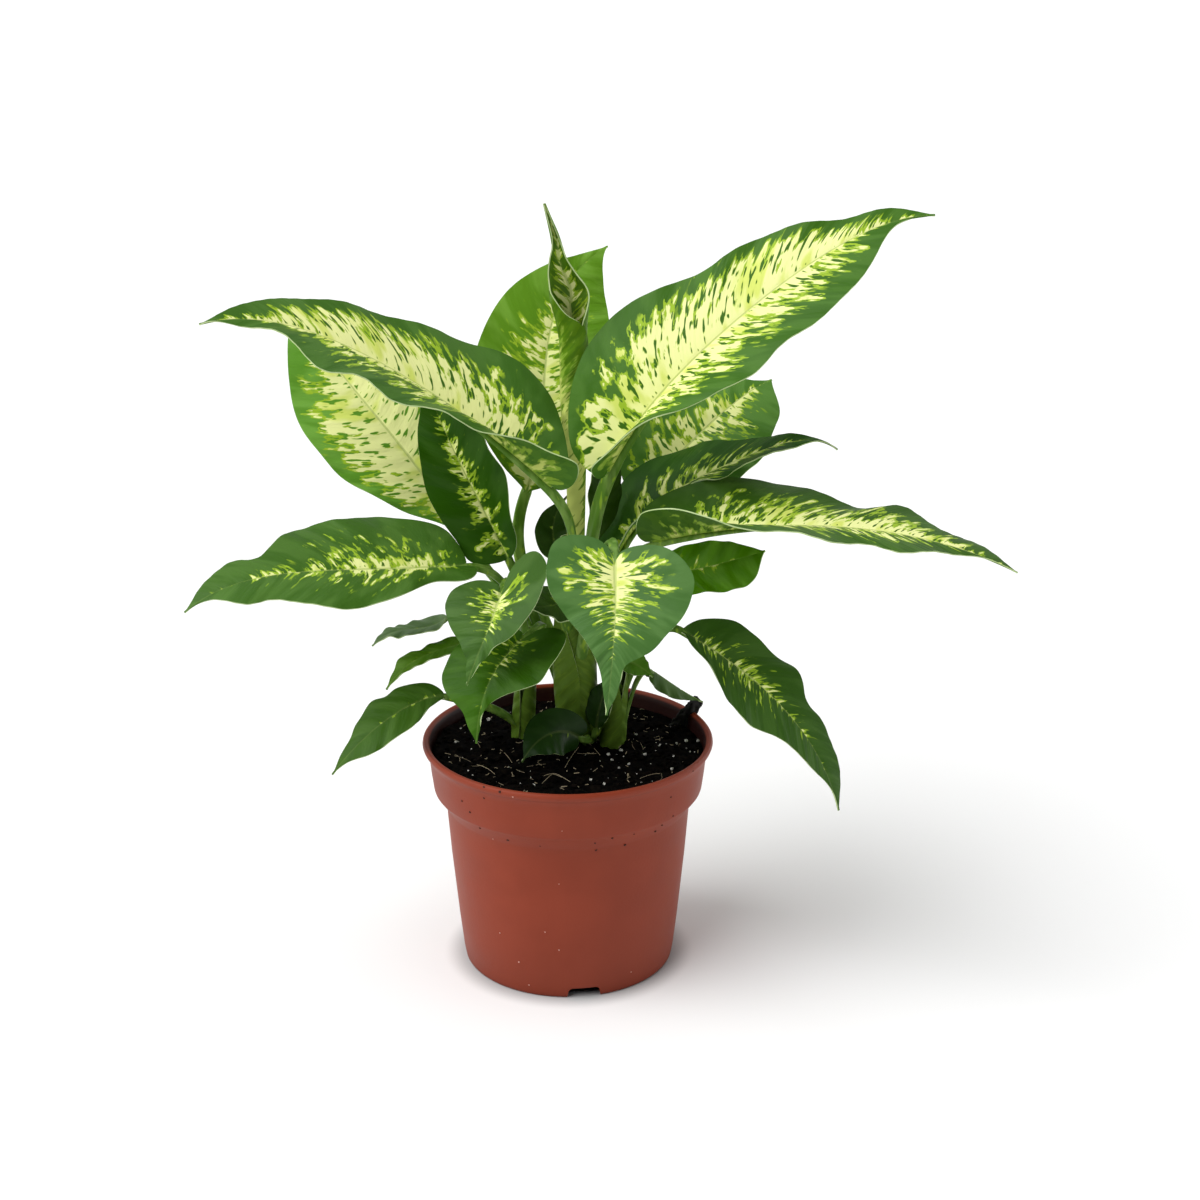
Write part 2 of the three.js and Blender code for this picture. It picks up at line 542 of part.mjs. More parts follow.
function pot() {
  let hollow = turned(INSIDE);
  for (const pocket of notches(WALL)) hollow = hollow.subtract(pocket);
  let solid = turned(OUTSIDE).subtract(hollow);
  for (const tunnel of notches(0)) solid = solid.subtract(tunnel);
  return solid;
}

// Soil -----------------------------------------------------------------------------------------

// The soil follows the inner wall, a gap away, and its top has low crumbs.
function soil(grownCanes) {
  const crumb = (radius, angle) => SOIL_RELIEF * (
    Math.sin(radius * 0.31 + 3 * Math.sin(angle * 2 + 1)) + 0.6 * Math.sin(angle * 7 + radius * 0.2)
  ) / 1.6;
  const lowest = SOIL_HEIGHT - 1.2 * SOIL_TILT * RIM_RADIUS;
  const rise = (lowest - STEP_TOP) / (LIP_BOTTOM - LIP_HEIGHT - STEP_TOP);
  const edge = mix(BAND_RADIUS[1], BAND_RADIUS[0], rise) - WALL - GAP;
  const wall = [
    [INSIDE[0][0] - GAP, INSIDE[0][1] + GAP],
    [INSIDE[1][0] - GAP, INSIDE[1][1]],
    [INSIDE[2][0] - GAP, INSIDE[2][1]],
  ];
  const top = [1, 0.94, 0.72, 0.48, 0.24, 0.04].map((share) => [edge * share, SOIL_HEIGHT]);
  const tilt = (radius, angle) => -SOIL_TILT * radius * (Math.sin(angle) + Math.cos(angle) / 2);
  let solid = turned([...wall, ...top], (radius, height, angle) => {
    if (height < SOIL_HEIGHT) return height;
    return height + tilt(radius, angle) + (radius === edge ? 0 : crumb(radius, angle));
  });
  for (const grown of [...notches(WALL + GAP), ...grownCanes]) solid = solid.subtract(grown);
  return solid;
}

// The whole plant ------------------------------------------------------------------------------

const plant = new THREE.Group();
const grownCanes = Object.values(CANES).map((row) => cane(row, GAP));

plant.add(meshOf('pot', pot(), 'pot'));
plant.add(meshOf('soil', soil(grownCanes), 'soil'));
for (const [name, row] of Object.entries(CANES)) plant.add(meshOf(name, cane(row), 'cane'));
const leaves = Object.entries(LEAVES).map(([name, row]) => ({ name, ...LEAF, ...row }));
leafSolids(leaves, grownCanes).forEach((solid, i) => {
  plant.add(meshOf(leaves[i].name, solid, leaves[i].kind));
});

export default plant;
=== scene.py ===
# %% [markdown]
# # A potted dieffenbachia
# The plant stands in a brick-red nursery pot. It has three shoots and some two dozen leaves, each on its own
# petiole, with cream and lime markings that run along the veins. The CAD model gives the place of every
# piece. This lesson dresses those pieces: it rebuilds the pot, the soil and each leaf with more detail, in
# metres and in the same frame.

# %% Load the frame
import random
from math import atan2, copysign, cos, degrees, exp, hypot, pi, radians, sin, sqrt

import bpy
from mathutils import Matrix, Vector, noise


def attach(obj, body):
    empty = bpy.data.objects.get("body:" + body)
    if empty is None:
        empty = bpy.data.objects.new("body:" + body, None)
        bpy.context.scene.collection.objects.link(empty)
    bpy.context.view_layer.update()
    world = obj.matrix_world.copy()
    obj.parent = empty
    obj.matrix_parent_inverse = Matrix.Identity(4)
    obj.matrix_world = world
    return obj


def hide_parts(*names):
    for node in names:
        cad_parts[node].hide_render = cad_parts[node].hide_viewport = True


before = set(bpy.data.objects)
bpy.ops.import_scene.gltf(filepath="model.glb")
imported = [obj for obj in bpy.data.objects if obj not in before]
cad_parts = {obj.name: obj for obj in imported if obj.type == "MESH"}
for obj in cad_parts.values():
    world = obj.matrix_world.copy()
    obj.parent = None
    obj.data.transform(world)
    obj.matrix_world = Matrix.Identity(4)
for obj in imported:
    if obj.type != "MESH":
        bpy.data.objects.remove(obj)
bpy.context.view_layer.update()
MM = 0.001

# %% [markdown]
# ## Camera
# The photograph looks down at the pot by about 20 degrees from some 0.9 m away. A 66 mm lens on a 36 mm wide
# sensor gives the same perspective. A camera looks along its own -Z, so turning it by 90 degrees less the
# tilt about X makes it look ahead and down.

# %% Camera
TILT_DOWN = radians(19.44)
EYE = Vector((0.01333, -0.8397, 0.4538))
LENS = 66
SENSOR = 36
bpy.ops.object.select_all(action="DESELECT")
bpy.ops.object.camera_add(location=EYE, rotation=(pi / 2 - TILT_DOWN, 0, 0))
camera = bpy.context.object
camera.name = "photo_camera"
camera.data.sensor_width = SENSOR
camera.data.lens = LENS
bpy.context.scene.camera = camera
print("camera looks down by", round(degrees(TILT_DOWN), 1), "degrees")

# %% [markdown]
# ## Shader helpers
# Every look is a small net of nodes. Each helper adds a node or two and gives back the result, so that a look
# reads from top to bottom like a sum. The light and the floor need the first of them.

# %% Shader helpers
def feed(tree, target, inputs):
    """Fills a node's inputs: one that is given a socket is linked, and any other is set."""
    for key, value in inputs.items():
        if isinstance(value, bpy.types.NodeSocket):
            tree.links.new(value, target.inputs[key])
        else:
            target.inputs[key].default_value = value


def node(tree, kind, inputs, **settings):
    made = tree.nodes.new("ShaderNode" + kind)
    for key, value in settings.items():
        setattr(made, key, value)
    feed(tree, made, inputs)
    return made


def maths(tree, operation, a, b, c=0.0):
    return node(tree, "Math", {0: a, 1: b, 2: c}, operation=operation).outputs[0]


def between(tree, value, low, high, start=0.0, end=1.0, step="SMOOTHSTEP"):
    """Start below low, end above high, and a step between."""
    inputs = {"Value": value, 1: low, 2: high, 3: start, 4: end}
    return node(tree, "MapRange", inputs, interpolation_type=step).outputs[0]


def own_place(tree):
    return node(tree, "TexCoord", {}).outputs["Object"]


def new_material(name):
    material = bpy.data.materials.new(name)
    material.use_nodes = True
    return material, material.node_tree, material.node_tree.nodes["Principled BSDF"]


def surface(tree, shader, colour, roughness, specular=0.5, relief=None):
    """Feeds the shader. A relief is a strength, a depth in metres and a height."""
    feed(tree, shader, {"Base Color": colour, "Roughness": roughness, "Specular IOR Level": specular})
    if relief:
        strength, depth, height = relief
        bump = node(tree, "Bump", {"Strength": strength, "Distance": depth, "Height": height})
        feed(tree, shader, {"Normal": bump.outputs[0]})


# %% [markdown]
# ## Light and floor
# The object stands on a white sweep that is lit until it is pure white, and only a wide soft shadow to the
# right stays grey. A sun lamp with a very large disc throws such a shadow evenly over any floor size, where
# an area lamp would leave the far floor dim. The sky fills the shadow. It is a little darker towards the
# camera, as a studio is behind the photographer, so that the pot is darkest in the middle and pale along its
# sides. A white card low on the right lights that side of the pot without filling its shadow. The floor's
# own colour also has a painted contact shadow: it is greyer right round the foot, which deepens the rendered
# one.

# %% Sun
SUN_FROM = Vector((-0.72, -0.38, 0.92))
SUN_DISC = radians(60)
SUN_STRENGTH = 3.05

bpy.ops.object.light_add(type="SUN", rotation=SUN_FROM.to_track_quat("Z", "Y").to_euler())
sun = bpy.context.object
sun.name = "soft_sun"
sun.data.energy = SUN_STRENGTH
sun.data.angle = SUN_DISC
print("sun disc", round(degrees(SUN_DISC)), "degrees wide")

# %% Sky and card
SKY_STRENGTH = 0.6
SKY_DIM = 0.1
CARD_STRENGTH = 3.2

world = bpy.data.worlds.new("studio")
world.use_nodes = True
bpy.context.scene.world = world
sky = world.node_tree
axes = node(sky, "SeparateXYZ", {0: node(sky, "TexCoord", {}).outputs["Generated"]}).outputs
dim = between(sky, axes["Y"], -0.95, -0.15, SKY_DIM, 1.0)
card = between(sky, axes["X"], 0.55, 0.9, 0.0, CARD_STRENGTH)
near_floor = between(sky, axes["Z"], 0.15, 0.4, 1.0, 0.0)
light = maths(sky, "MULTIPLY_ADD", card, near_floor, dim)
feed(sky, sky.nodes["Background"], {"Color": light, "Strength": SKY_STRENGTH})
print("sky strength", SKY_STRENGTH, "and card", CARD_STRENGTH)

# %% Floor
FLOOR_SIZE = 12
FLOOR_WHITE = 0.9
CONTACT_SHADOW_GREY = 0.5
CONTACT_SHADOW_REACH = (0.043, 0.054)

bpy.ops.mesh.primitive_plane_add(size=FLOOR_SIZE)
floor = bpy.context.object
floor.name = "studio_floor"
white, tree, shader = new_material("white_sweep")
from_foot = node(tree, "VectorMath", {0: own_place(tree)}, operation="LENGTH").outputs["Value"]
# Painted contact shadow: the floor's colour is grey at the foot and turns white further out.
grey = between(tree, from_foot, *CONTACT_SHADOW_REACH, CONTACT_SHADOW_GREY, FLOOR_WHITE)
surface(tree, shader, grey, 1.0, 0.0)
floor.data.materials.append(white)
bpy.context.scene.view_settings.view_transform = "Standard"
print("floor", FLOOR_SIZE, "m wide")

# %% [markdown]
# ## Shape helpers
# Every piece below is finished in the same way: it rides on the plant's one body and stands for a CAD solid.
# A primitive is added with nothing else selected, because an operator acts on all that is selected. The shell
# helper starts from a disc and extrudes its face ring by ring, which leaves no seam and keeps the ends
# closed.

# %% Finishing a piece
def settle(piece, slot, *nodes, material=None):
    if material:
        piece.data.materials.append(material)
    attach(piece, "root")
    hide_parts(*nodes)
    return piece


def begin():
    bpy.ops.object.select_all(action="DESELECT")


def apply_all(piece):
    bpy.context.view_layer.objects.active = piece
    for modifier in list(piece.modifiers):
        bpy.ops.object.modifier_apply(modifier=modifier.name)


# %% A shell from a disc
def edit(element, action):
    """Edit mode, with all or none of one kind of element selected."""
    bpy.ops.object.mode_set(mode="EDIT")
    bpy.ops.mesh.select_mode(type=element)
    bpy.ops.mesh.select_all(action=action)


def shell(name, sides, rings):
    """A disc at the first ring, extruded through the others. A ring is a radius and a height in mm."""
    begin()
    (radius, height), *others = rings
    place = (0, 0, height * MM)
    bpy.ops.mesh.primitive_circle_add(vertices=sides, radius=radius * MM, fill_type="NGON", location=place)
    piece = bpy.context.object
    piece.name = name
    bpy.ops.object.transform_apply(location=True)
    edit("FACE", "SELECT")
    for wide, high in others:
        rise = (0, 0, (high - height) * MM)
        bpy.ops.mesh.extrude_region_move(TRANSFORM_OT_translate={"value": rise})
        grow = wide / radius
        bpy.ops.transform.resize(value=(grow, grow, 1), center_override=(0, 0, high * MM))
        radius, height = wide, high
    bpy.ops.mesh.select_all(action="SELECT")
    bpy.ops.mesh.normals_make_consistent(inside=False)
    bpy.ops.object.mode_set(mode="OBJECT")
    return piece


# %% [markdown]
# ## The pot
# The real pot is injection-moulded plastic: one thin wall with a lip bead, a collar band, a step under the
# band where pots nest, and small arched drain notches in the foot. It could be spun from a profile. Here a
# disc is extruded ring by ring, up the outside, over the lip and down the inside, because that leaves one
# closed shell without a seam. The notches are cut with a boolean, and a fine bevel softens their edges.

# %% Pot profile: radius and height in mm, up the outside and down the inside
OUTER = [
    (42.5, 0.0), (43.3, 0.2), (43.8, 0.8), (44.0, 1.8), (44.6, 5.3), (46.2, 19.6), (48.9, 47.6), (50.2, 64.3),
    (50.6, 69.6), (51.0, 71.0), (55.2, 76.7), (55.5, 77.1), (55.7, 77.7), (56.6, 84.5), (57.3, 91.0),
    (57.9, 93.0), (58.8, 94.4), (59.6, 95.4), (60.0, 96.4), (59.9, 97.1), (59.4, 97.8), (58.6, 98.0),
]
INNER = [
    (57.8, 97.7), (57.2, 96.9), (56.7, 94.5), (55.3, 84.5), (54.3, 79.0), (50.2, 73.2), (49.3, 71.6),
    (48.7, 64.0), (44.8, 19.6), (42.7, 2.4), (42.0, 1.6),
]
POT_SIDES = 128


def mix(a, b, share):
    return a + (b - a) * share


def outer_radius(height):
    for (low_r, low), (high_r, high) in zip(OUTER, OUTER[1:]):
        if low <= height <= high:
            return mix(low_r, high_r, (height - low) / (high - low))
    return 0


pot = shell("pot_shell", POT_SIDES, OUTER + INNER)
print("pot wall:", len(pot.data.polygons), "faces")

# %% [markdown]
# Three arched drain notches stand round the foot, one of them in front and a little to the right. Each
# cutter is a cube whose upper edges are bevelled round and whose sides lean inwards.

# %% Drain notches
NOTCH_ANGLES = [-81, 39, 159]
NOTCH_TOP = 4.6
NOTCH_BOTTOM = -2
NOTCH_WIDE = 14.6
NOTCH_NARROW = 12.4
NOTCH_FROM_AXIS = 43.9
NOTCH_DEPTH = 18
NOTCH_ROUND = 1.7


def edit_edges(piece, wanted):
    """Edit mode, with those edges selected for whose ends wanted(a, b) holds."""
    edit("EDGE", "DESELECT")
    bpy.ops.object.mode_set(mode="OBJECT")
    for edge in piece.data.edges:
        a, b = (piece.data.vertices[i].co for i in edge.vertices)
        edge.select = wanted(a, b)
    bpy.ops.object.mode_set(mode="EDIT")


for angle in NOTCH_ANGLES:
    begin()
    bpy.ops.mesh.primitive_cube_add(size=1)
    cutter = bpy.context.object
    for vertex in cutter.data.vertices:
        high = vertex.co.z > 0
        vertex.co.z = (NOTCH_TOP if high else NOTCH_BOTTOM) * MM
        vertex.co.y *= (NOTCH_NARROW if high else NOTCH_WIDE) * MM
        vertex.co.x = (NOTCH_FROM_AXIS + vertex.co.x * NOTCH_DEPTH) * MM
    edit_edges(cutter, lambda a, b: a.z > 0 and b.z > 0 and abs(a.y - b.y) < MM)
    bpy.ops.mesh.bevel(offset=NOTCH_ROUND * MM, segments=5)
    bpy.ops.object.mode_set(mode="OBJECT")
    cutter.data.transform(Matrix.Rotation(radians(angle), 4, "Z"))
    cut = pot.modifiers.new("notch", "BOOLEAN")
    cut.object = cutter
    cut.solver = "EXACT"
    begin()
    pot.select_set(True)
    apply_all(pot)
    bpy.data.objects.remove(cutter)
print("pot with notches:", len(pot.data.polygons), "faces")

# %% Softened edges
EDGE_ROUND = 0.25
SHARP_FROM = radians(50)
CREASED_FROM = radians(32)

soften = pot.modifiers.new("soften", "BEVEL")
soften.width = EDGE_ROUND * MM
soften.segments = 2
soften.limit_method = "ANGLE"
soften.angle_limit = SHARP_FROM
apply_all(pot)
bpy.ops.object.shade_smooth_by_angle(angle=CREASED_FROM)
print("pot with soft edges:", len(pot.data.polygons), "faces")

# %% [markdown]
# The plastic is brick red and slightly matt. Moulded polypropylene shows faint upright flow streaks and a
# soft mottle, and the lower wall is a little darker and greyer. The streaks come from a noise that is
# squeezed round the pot and stretched upwards, and a fine noise makes the surface scatter a little unevenly.
# Noise runs over a piece's own coordinates unless it is given a map. The inside, whose faces look back at the
# axis, is
# painted much darker: this is painted shade.

# %% Colours and noise
def paint(red, green, blue):
    """A colour given as the photograph's 0 to 255 values, as linear light."""
    def linear(value):
        value /= 255
        return value / 12.92 if value <= 0.04045 else ((value + 0.055) / 1.055) ** 2.4
    return (linear(red), linear(green), linear(blue), 1)


def times(tree, a, b):
    return maths(tree, "MULTIPLY", a, b)


def below(tree, value, low, high):
    """1 below low, 0 above high, and a smooth step between."""
    return maths(tree, "SUBTRACT", 1.0, between(tree, value, low, high))


def blend(tree, share, one, other):
    return node(tree, "Mix", {0: share, 6: one, 7: other}, data_type="RGBA").outputs[2]


def own_height(tree):
    return node(tree, "SeparateXYZ", {0: own_place(tree)}).outputs["Z"]


def noise_of(tree, scale, detail=2.0, stretch=(1, 1, 1), shift=(0, 0, 0), chart=None):
    """Noise over the piece's own coordinates, or over a flat map, first stretched and shifted."""
    vector, dimensions = (own_place(tree), "3D") if chart is None else (chart, "2D")
    vector = node(tree, "Mapping", {"Vector": vector, "Location": shift, "Scale": stretch}).outputs[0]
    inputs = {"Vector": vector, "Scale": scale, "Detail": detail}
    return node(tree, "TexNoise", inputs, noise_dimensions=dimensions).outputs[0]


# %% Brick-red plastic
plastic, tree, shader = new_material("brick_red_plastic")
mottle = noise_of(tree, 38.0, 3.0)
streaks = noise_of(tree, 60.0, 2.0, stretch=(1, 1, 0.12))
tone = blend(tree, between(tree, mottle, 0.3, 0.7), paint(129, 51, 29), paint(136, 56, 34))
tone = blend(tree, times(tree, between(tree, streaks, 0.45, 0.75), 0.25), tone, paint(124, 50, 29))
# The wall turns a little darker and greyer towards the foot, over its lowest 5 cm.
low_on_wall = below(tree, own_height(tree), 0.0, 0.05)
tone = blend(tree, times(tree, low_on_wall, 0.4), tone, paint(118, 50, 32))
# Painted shade: faces that look back at the axis, the inside of the pot, get a much darker colour.
inputs = {0: own_place(tree), 1: node(tree, "NewGeometry", {}).outputs["Normal"]}
outward = node(tree, "VectorMath", inputs, operation="DOT_PRODUCT").outputs["Value"]
tone = blend(tree, below(tree, outward, -0.02, 0.0), tone, paint(44, 15, 12))
rough = between(tree, mottle, 0.3, 0.7, 0.42, 0.52, "LINEAR")
surface(tree, shader, tone, rough, 0.2, (0.12, 0.0003, noise_of(tree, 900.0, 1.0)))
pot.data.materials.clear()
settle(pot, "pot", "pot", material=plastic)
print("brick-red plastic:", len(tree.nodes), "nodes")

# %% [markdown]
# ## Soil
# Moist peat is nearly black and crumbly. The bed is a disc extruded up along the inside of the wall and then
# inwards, ring by ring, so that its top has enough vertices to be pushed into clods by noise. It lies a
# little higher at the front and the left, as in the photograph. Loose lumps, perlite grains and root fibres
# lie on it.

# %% Height of the soil
SOIL_HEIGHT = 93
SOIL_TILT = 0.035
CLODS = [(1.3, 0.09), (1.1, 0.22), (0.7, 0.6)]


def soil_height(x, y):
    """Height of the soil in mm at a place in mm. Clods of one size have a height and a fineness."""
    spot = Vector((x, y, 0))
    clods = sum(height * noise.noise(spot * fineness) for height, fineness in CLODS)
    return SOIL_HEIGHT - SOIL_TILT * (y + x / 2) + clods


def above_soil(x, y, extra):
    return Vector((x, y, soil_height(x, y) + extra))


print("soil in the middle:", round(soil_height(0, 0), 1), "mm up")

# %% Soil bed
SOIL_EDGE = 56.1
SOIL_SIDES = 144
TOP_RINGS = 44
WALL_RINGS = [(42, 2), (49, 70), (54, 79.5), (SOIL_EDGE, SOIL_HEIGHT - 2)]

top = [(SOIL_EDGE * (1 - i / TOP_RINGS), SOIL_HEIGHT) for i in range(1, TOP_RINGS)]
soil = shell("soil_bed", SOIL_SIDES, WALL_RINGS + top)
for vertex in soil.data.vertices:
    if vertex.co.z > (SOIL_HEIGHT - 1) * MM:
        vertex.co.z = soil_height(vertex.co.x / MM, vertex.co.y / MM) * MM
bpy.ops.object.shade_smooth()
print("soil bed:", len(soil.data.polygons), "faces")

# %% Peat
peat, tree, shader = new_material("moist_peat")
crumbs = noise_of(tree, 420.0, 4.0)
patches = noise_of(tree, 90.0, 3.0)
tone = blend(tree, between(tree, crumbs, 0.4, 0.75), paint(1, 1, 1), paint(18, 13, 9))
tone = blend(tree, times(tree, between(tree, patches, 0.5, 0.7), 0.5), tone, paint(7, 5, 3))
surface(tree, shader, tone, 0.95, 0.03, (0.9, 0.001, crumbs))
settle(soil, "soil", "soil", material=peat)
print("moist peat:", len(tree.nodes), "nodes")

# %% [markdown]
# Some grains can be placed by the photograph's pixels: a ray goes from the camera through the pixel until it
# meets the soil or the pot's wall. The image counts as 1200 pixels wide.

# %% From a pixel to a place
PHOTO_SIZE = 1200
LENS_PIXELS = PHOTO_SIZE * LENS / SENSOR
WALL_START = 700
WALL_BACK = 60
WALL_STEP = 0.1


def ray(px, py):
    """The direction that a pixel of the photograph looks in."""
    across, down = ((pixel - PHOTO_SIZE / 2) / LENS_PIXELS for pixel in (px, py))
    return camera.matrix_world.to_quaternion() @ Vector((across, -down, -1))


def on_soil(px, py):
    way = ray(px, py)
    eye = EYE / MM
    return eye + way * ((SOIL_HEIGHT - eye.z) / way.z)


def on_wall(px, py):
    """The first place where the ray is inside the pot's outline."""
    way = ray(px, py)
    spot = EYE / MM + way * WALL_START
    while spot.y < WALL_BACK and hypot(spot.x, spot.y) >= outer_radius(spot.z):
        spot += way * WALL_STEP
    return spot


bpy.context.view_layer.update()
print("a pixel on the pot:", [round(v, 1) for v in on_wall(580, 900)])

# %% [markdown]
# ## Lumps and perlite
# Peat clumps are dark and 1 to 4 mm wide. Perlite is the white, popcorn-like volcanic glass that keeps
# potting soil airy. Its pale grey grains are 0.3 to 2 mm wide. The lumps are small icospheres with their
# vertices pushed in and out, one mesh for all.

# %% Loose things: many small copies of one shape, joined into one piece
TURN = 6.28
LOOSE_EDGE = SOIL_EDGE - 2
LOOSE_LIFT = 0.2


def joined(name, pieces):
    begin()
    for piece in pieces:
        piece.select_set(True)
    bpy.context.view_layer.objects.active = pieces[0]
    bpy.ops.object.join()
    bpy.context.object.name = name
    return bpy.context.object


def rounded_lump(rng, size, flat):
    begin()
    bpy.ops.mesh.primitive_ico_sphere_add(subdivisions=1, radius=size)
    lump = bpy.context.object
    for vertex in lump.data.vertices:
        vertex.co *= rng.uniform(0.72, 1.2)
        vertex.co.z *= flat
    heading = Matrix.Rotation(rng.uniform(0, TURN), 4, "Z")
    lump.data.transform(heading @ Matrix.Rotation(rng.uniform(-0.5, 0.5), 4, "X"))
    return lump


def strew(name, spots, sizes, rng, flat=0.7):
    """One piece of uneven lumps, one at each spot (mm)."""
    lumps = []
    for spot, size in zip(spots, sizes):
        lump = rounded_lump(rng, size, flat)
        lump.data.transform(Matrix.Translation(spot))
        lumps.append(lump)
    piece = joined(name, lumps)
    piece.data.transform(Matrix.Scale(MM, 4))
    bpy.ops.object.shade_smooth_by_angle(angle=radians(50))
    print(name, len(spots), "lumps")
    return piece


def scattered(rng, count, inner=0.0):
    spots = []
    for _ in range(count):
        radius = sqrt(rng.uniform(inner ** 2, LOOSE_EDGE ** 2))
        angle = rng.uniform(0, 2 * pi)
        spots.append(above_soil(radius * cos(angle), radius * sin(angle), LOOSE_LIFT))
    return spots


# %% Peat lumps
LUMPS = 420

rng = random.Random(5)
spots = scattered(rng, LUMPS)
lumps = strew("peat_lumps", spots, [rng.uniform(0.6, 1.9) for _ in spots], rng)
settle(lumps, "soil", "soil", material=peat)

# %% Perlite grains
CRUMBS = 80
GRAIN_LIFT = 0.5
GRAIN_EDGE = SOIL_EDGE - 1.5
GRAIN_PIXELS = [
    (636, 735), (649, 744), (660, 745), (621, 750), (608, 754), (677, 741), (686, 738), (704, 740),
    (629, 765), (619, 772), (591, 783), (604, 788), (658, 766), (669, 768), (672, 770), (461, 730),
    (456, 743), (489, 723), (509, 774), (533, 789), (573, 785), (645, 757), (690, 752), (612, 760),
]

spots = []
for px, py in GRAIN_PIXELS:
    spot = on_soil(px, py)
    spot *= min(1, GRAIN_EDGE / hypot(spot.x, spot.y))
    spots.append(above_soil(spot.x, spot.y, GRAIN_LIFT))
spots += scattered(rng, CRUMBS)
sizes = [rng.uniform(0.4, 1.0) for _ in GRAIN_PIXELS] + [rng.uniform(0.15, 0.45) for _ in range(CRUMBS)]
grains = strew("perlite_grains", spots, sizes, rng, flat=0.8)

# %% Perlite, and other finishes in two tones
def two_tone(name, scale, dark, light, roughness, detail=2.0, contrast=None):
    """A matt material that wanders between two colours."""
    material, tree, shader = new_material(name)
    share = noise_of(tree, scale, detail)
    if contrast:
        share = between(tree, share, *contrast)
    surface(tree, shader, blend(tree, share, paint(*dark), paint(*light)), roughness)
    return material


perlite = two_tone("perlite", 1500.0, (120, 116, 108), (226, 224, 216), 0.9, contrast=(0.35, 0.65))
settle(grains, "soil", "soil", material=perlite)
print("perlite:", len(perlite.node_tree.nodes), "nodes")

# %% [markdown]
# Dead root fibres lie on the soil as thin tan threads. Each is a short curve with a round bevel, made a
# mesh. Some follow the photograph, and the others and the many short shreds are strewn by a seeded random.

# %% Fibres
WANDERING_FIBRES = 20
SHREDS = 110
FIBRE_POINTS = 4
FIBRE_STRIDE = 2.6
FIBRE_START = 40
FIBRE_EDGE = 53
FIBRE_LIFT = 0.8
FIBRE_THICKNESS = 0.11
FIBRE_PIXELS = [
    [(455, 759), (461, 762), (460, 767)], [(477, 770), (487, 772), (495, 779)],
    [(542, 789), (549, 782), (554, 777), (566, 783), (579, 791)], [(579, 749), (570, 760), (565, 773)],
    [(589, 746), (594, 750), (600, 756)], [(500, 752), (507, 757), (512, 765)],
    [(640, 779), (652, 775), (660, 778)],
]


def fibre(points, thickness):
    begin()
    bpy.ops.curve.primitive_nurbs_path_add()
    curve = bpy.context.object
    curve.data.splines.clear()
    spline = curve.data.splines.new("NURBS")
    spline.points.add(len(points) - 1)
    for point, spot in zip(spline.points, points):
        point.co = (*(spot * MM), 1)
    spline.use_endpoint_u = True
    spline.order_u = 3
    curve.data.bevel_depth = thickness * MM
    curve.data.bevel_resolution = 1
    curve.data.resolution_u = 3
    curve.data.use_fill_caps = True
    bpy.ops.object.convert(target="MESH")
    return bpy.context.object


threads = []
for pixels in FIBRE_PIXELS:
    way = [on_soil(px, py) for px, py in pixels]
    way = [above_soil(spot.x, spot.y, FIBRE_LIFT) for spot in way]
    threads.append(fibre(way, FIBRE_THICKNESS))
for _ in range(WANDERING_FIBRES):
    x, y = (rng.uniform(-FIBRE_START, FIBRE_START) for _ in range(2))
    heading = rng.uniform(0, TURN)
    way = []
    for _ in range(FIBRE_POINTS):
        if hypot(x, y) > FIBRE_EDGE:
            break
        way.append(above_soil(x, y, rng.uniform(0.3, 1.0)))
        heading += rng.uniform(-0.8, 0.8)
        x += FIBRE_STRIDE * cos(heading)
        y += FIBRE_STRIDE * sin(heading)
    if len(way) > 2:
        threads.append(fibre(way, rng.uniform(0.05, 0.1)))
for spot in scattered(rng, SHREDS, inner=12.0):
    heading = rng.uniform(0, TURN)
    half = Vector((cos(heading), sin(heading), 0)) * rng.uniform(0.5, 1.5)
    way = [above_soil(place.x, place.y, rng.uniform(0.4, 1.1)) for place in (spot - half, spot, spot + half)]
    threads.append(fibre(way, rng.uniform(0.08, 0.2)))
dead_root = two_tone("dead_root", 300.0, (112, 98, 76), (184, 168, 138), 0.9)
settle(joined("root_fibres", threads), "soil", "soil", material=dead_root)
print("fibres:", len(threads))

# %% [markdown]
# ## Dirt on the pot
# Crumbs of peat stick to the collar and the wall, with a few pale specks of lime. They are so small that a
# bump would do, but as flat lumps they also show along the edge of the pot. A pixel of the photograph gives
# each one its place on the wall.

# %% Dirt on the pot
DARK_SPECKS = [
    (462, 801), (484, 787), (500, 792), (484, 798), (480, 828), (671, 797), (673, 816), (595, 843),
    (596, 850), (612, 838), (634, 834), (662, 825), (693, 771), (655, 831), (470, 812), (540, 846),
    (508, 840), (625, 845),
]
PALE_SPECKS = [
    (513, 797), (493, 839), (562, 831), (559, 884), (500, 933), (545, 932), (559, 950), (519, 962),
    (631, 972), (529, 985),
]
SUNK = 0.999
SPECKS = {
    "peat_specks": (DARK_SPECKS, 0.62, two_tone("dry_peat_crumb", 700.0, (30, 16, 12), (72, 38, 28), 0.95)),
    "lime_specks": (PALE_SPECKS, 0.42, two_tone("lime_speck", 700.0, (176, 120, 104), (214, 170, 156), 0.9)),
}
rng = random.Random(11)
for name, (pixels, size, material) in SPECKS.items():
    spots = [on_wall(px, py) for px, py in pixels]
    spots = [Vector((spot.x * SUNK, spot.y * SUNK, spot.z)) for spot in spots]
    specks = strew(name, spots, [rng.uniform(0.6, 1.1) * size for _ in spots], rng, flat=0.9)
    settle(specks, "pot", "pot", material=material)

# %% [markdown]
# ## Canes
# A dieffenbachia's cane is a fleshy stem, ringed by the scars of fallen leaves and mostly hidden by the
# sheaths of the petioles. Each cane is a tube along its path that swells a little at every scar. The tube
# helper starts from a cylinder, cuts it into rings in edit mode and then lays the rings along the path, which
# keeps the ends closed and the faces pointing outwards.

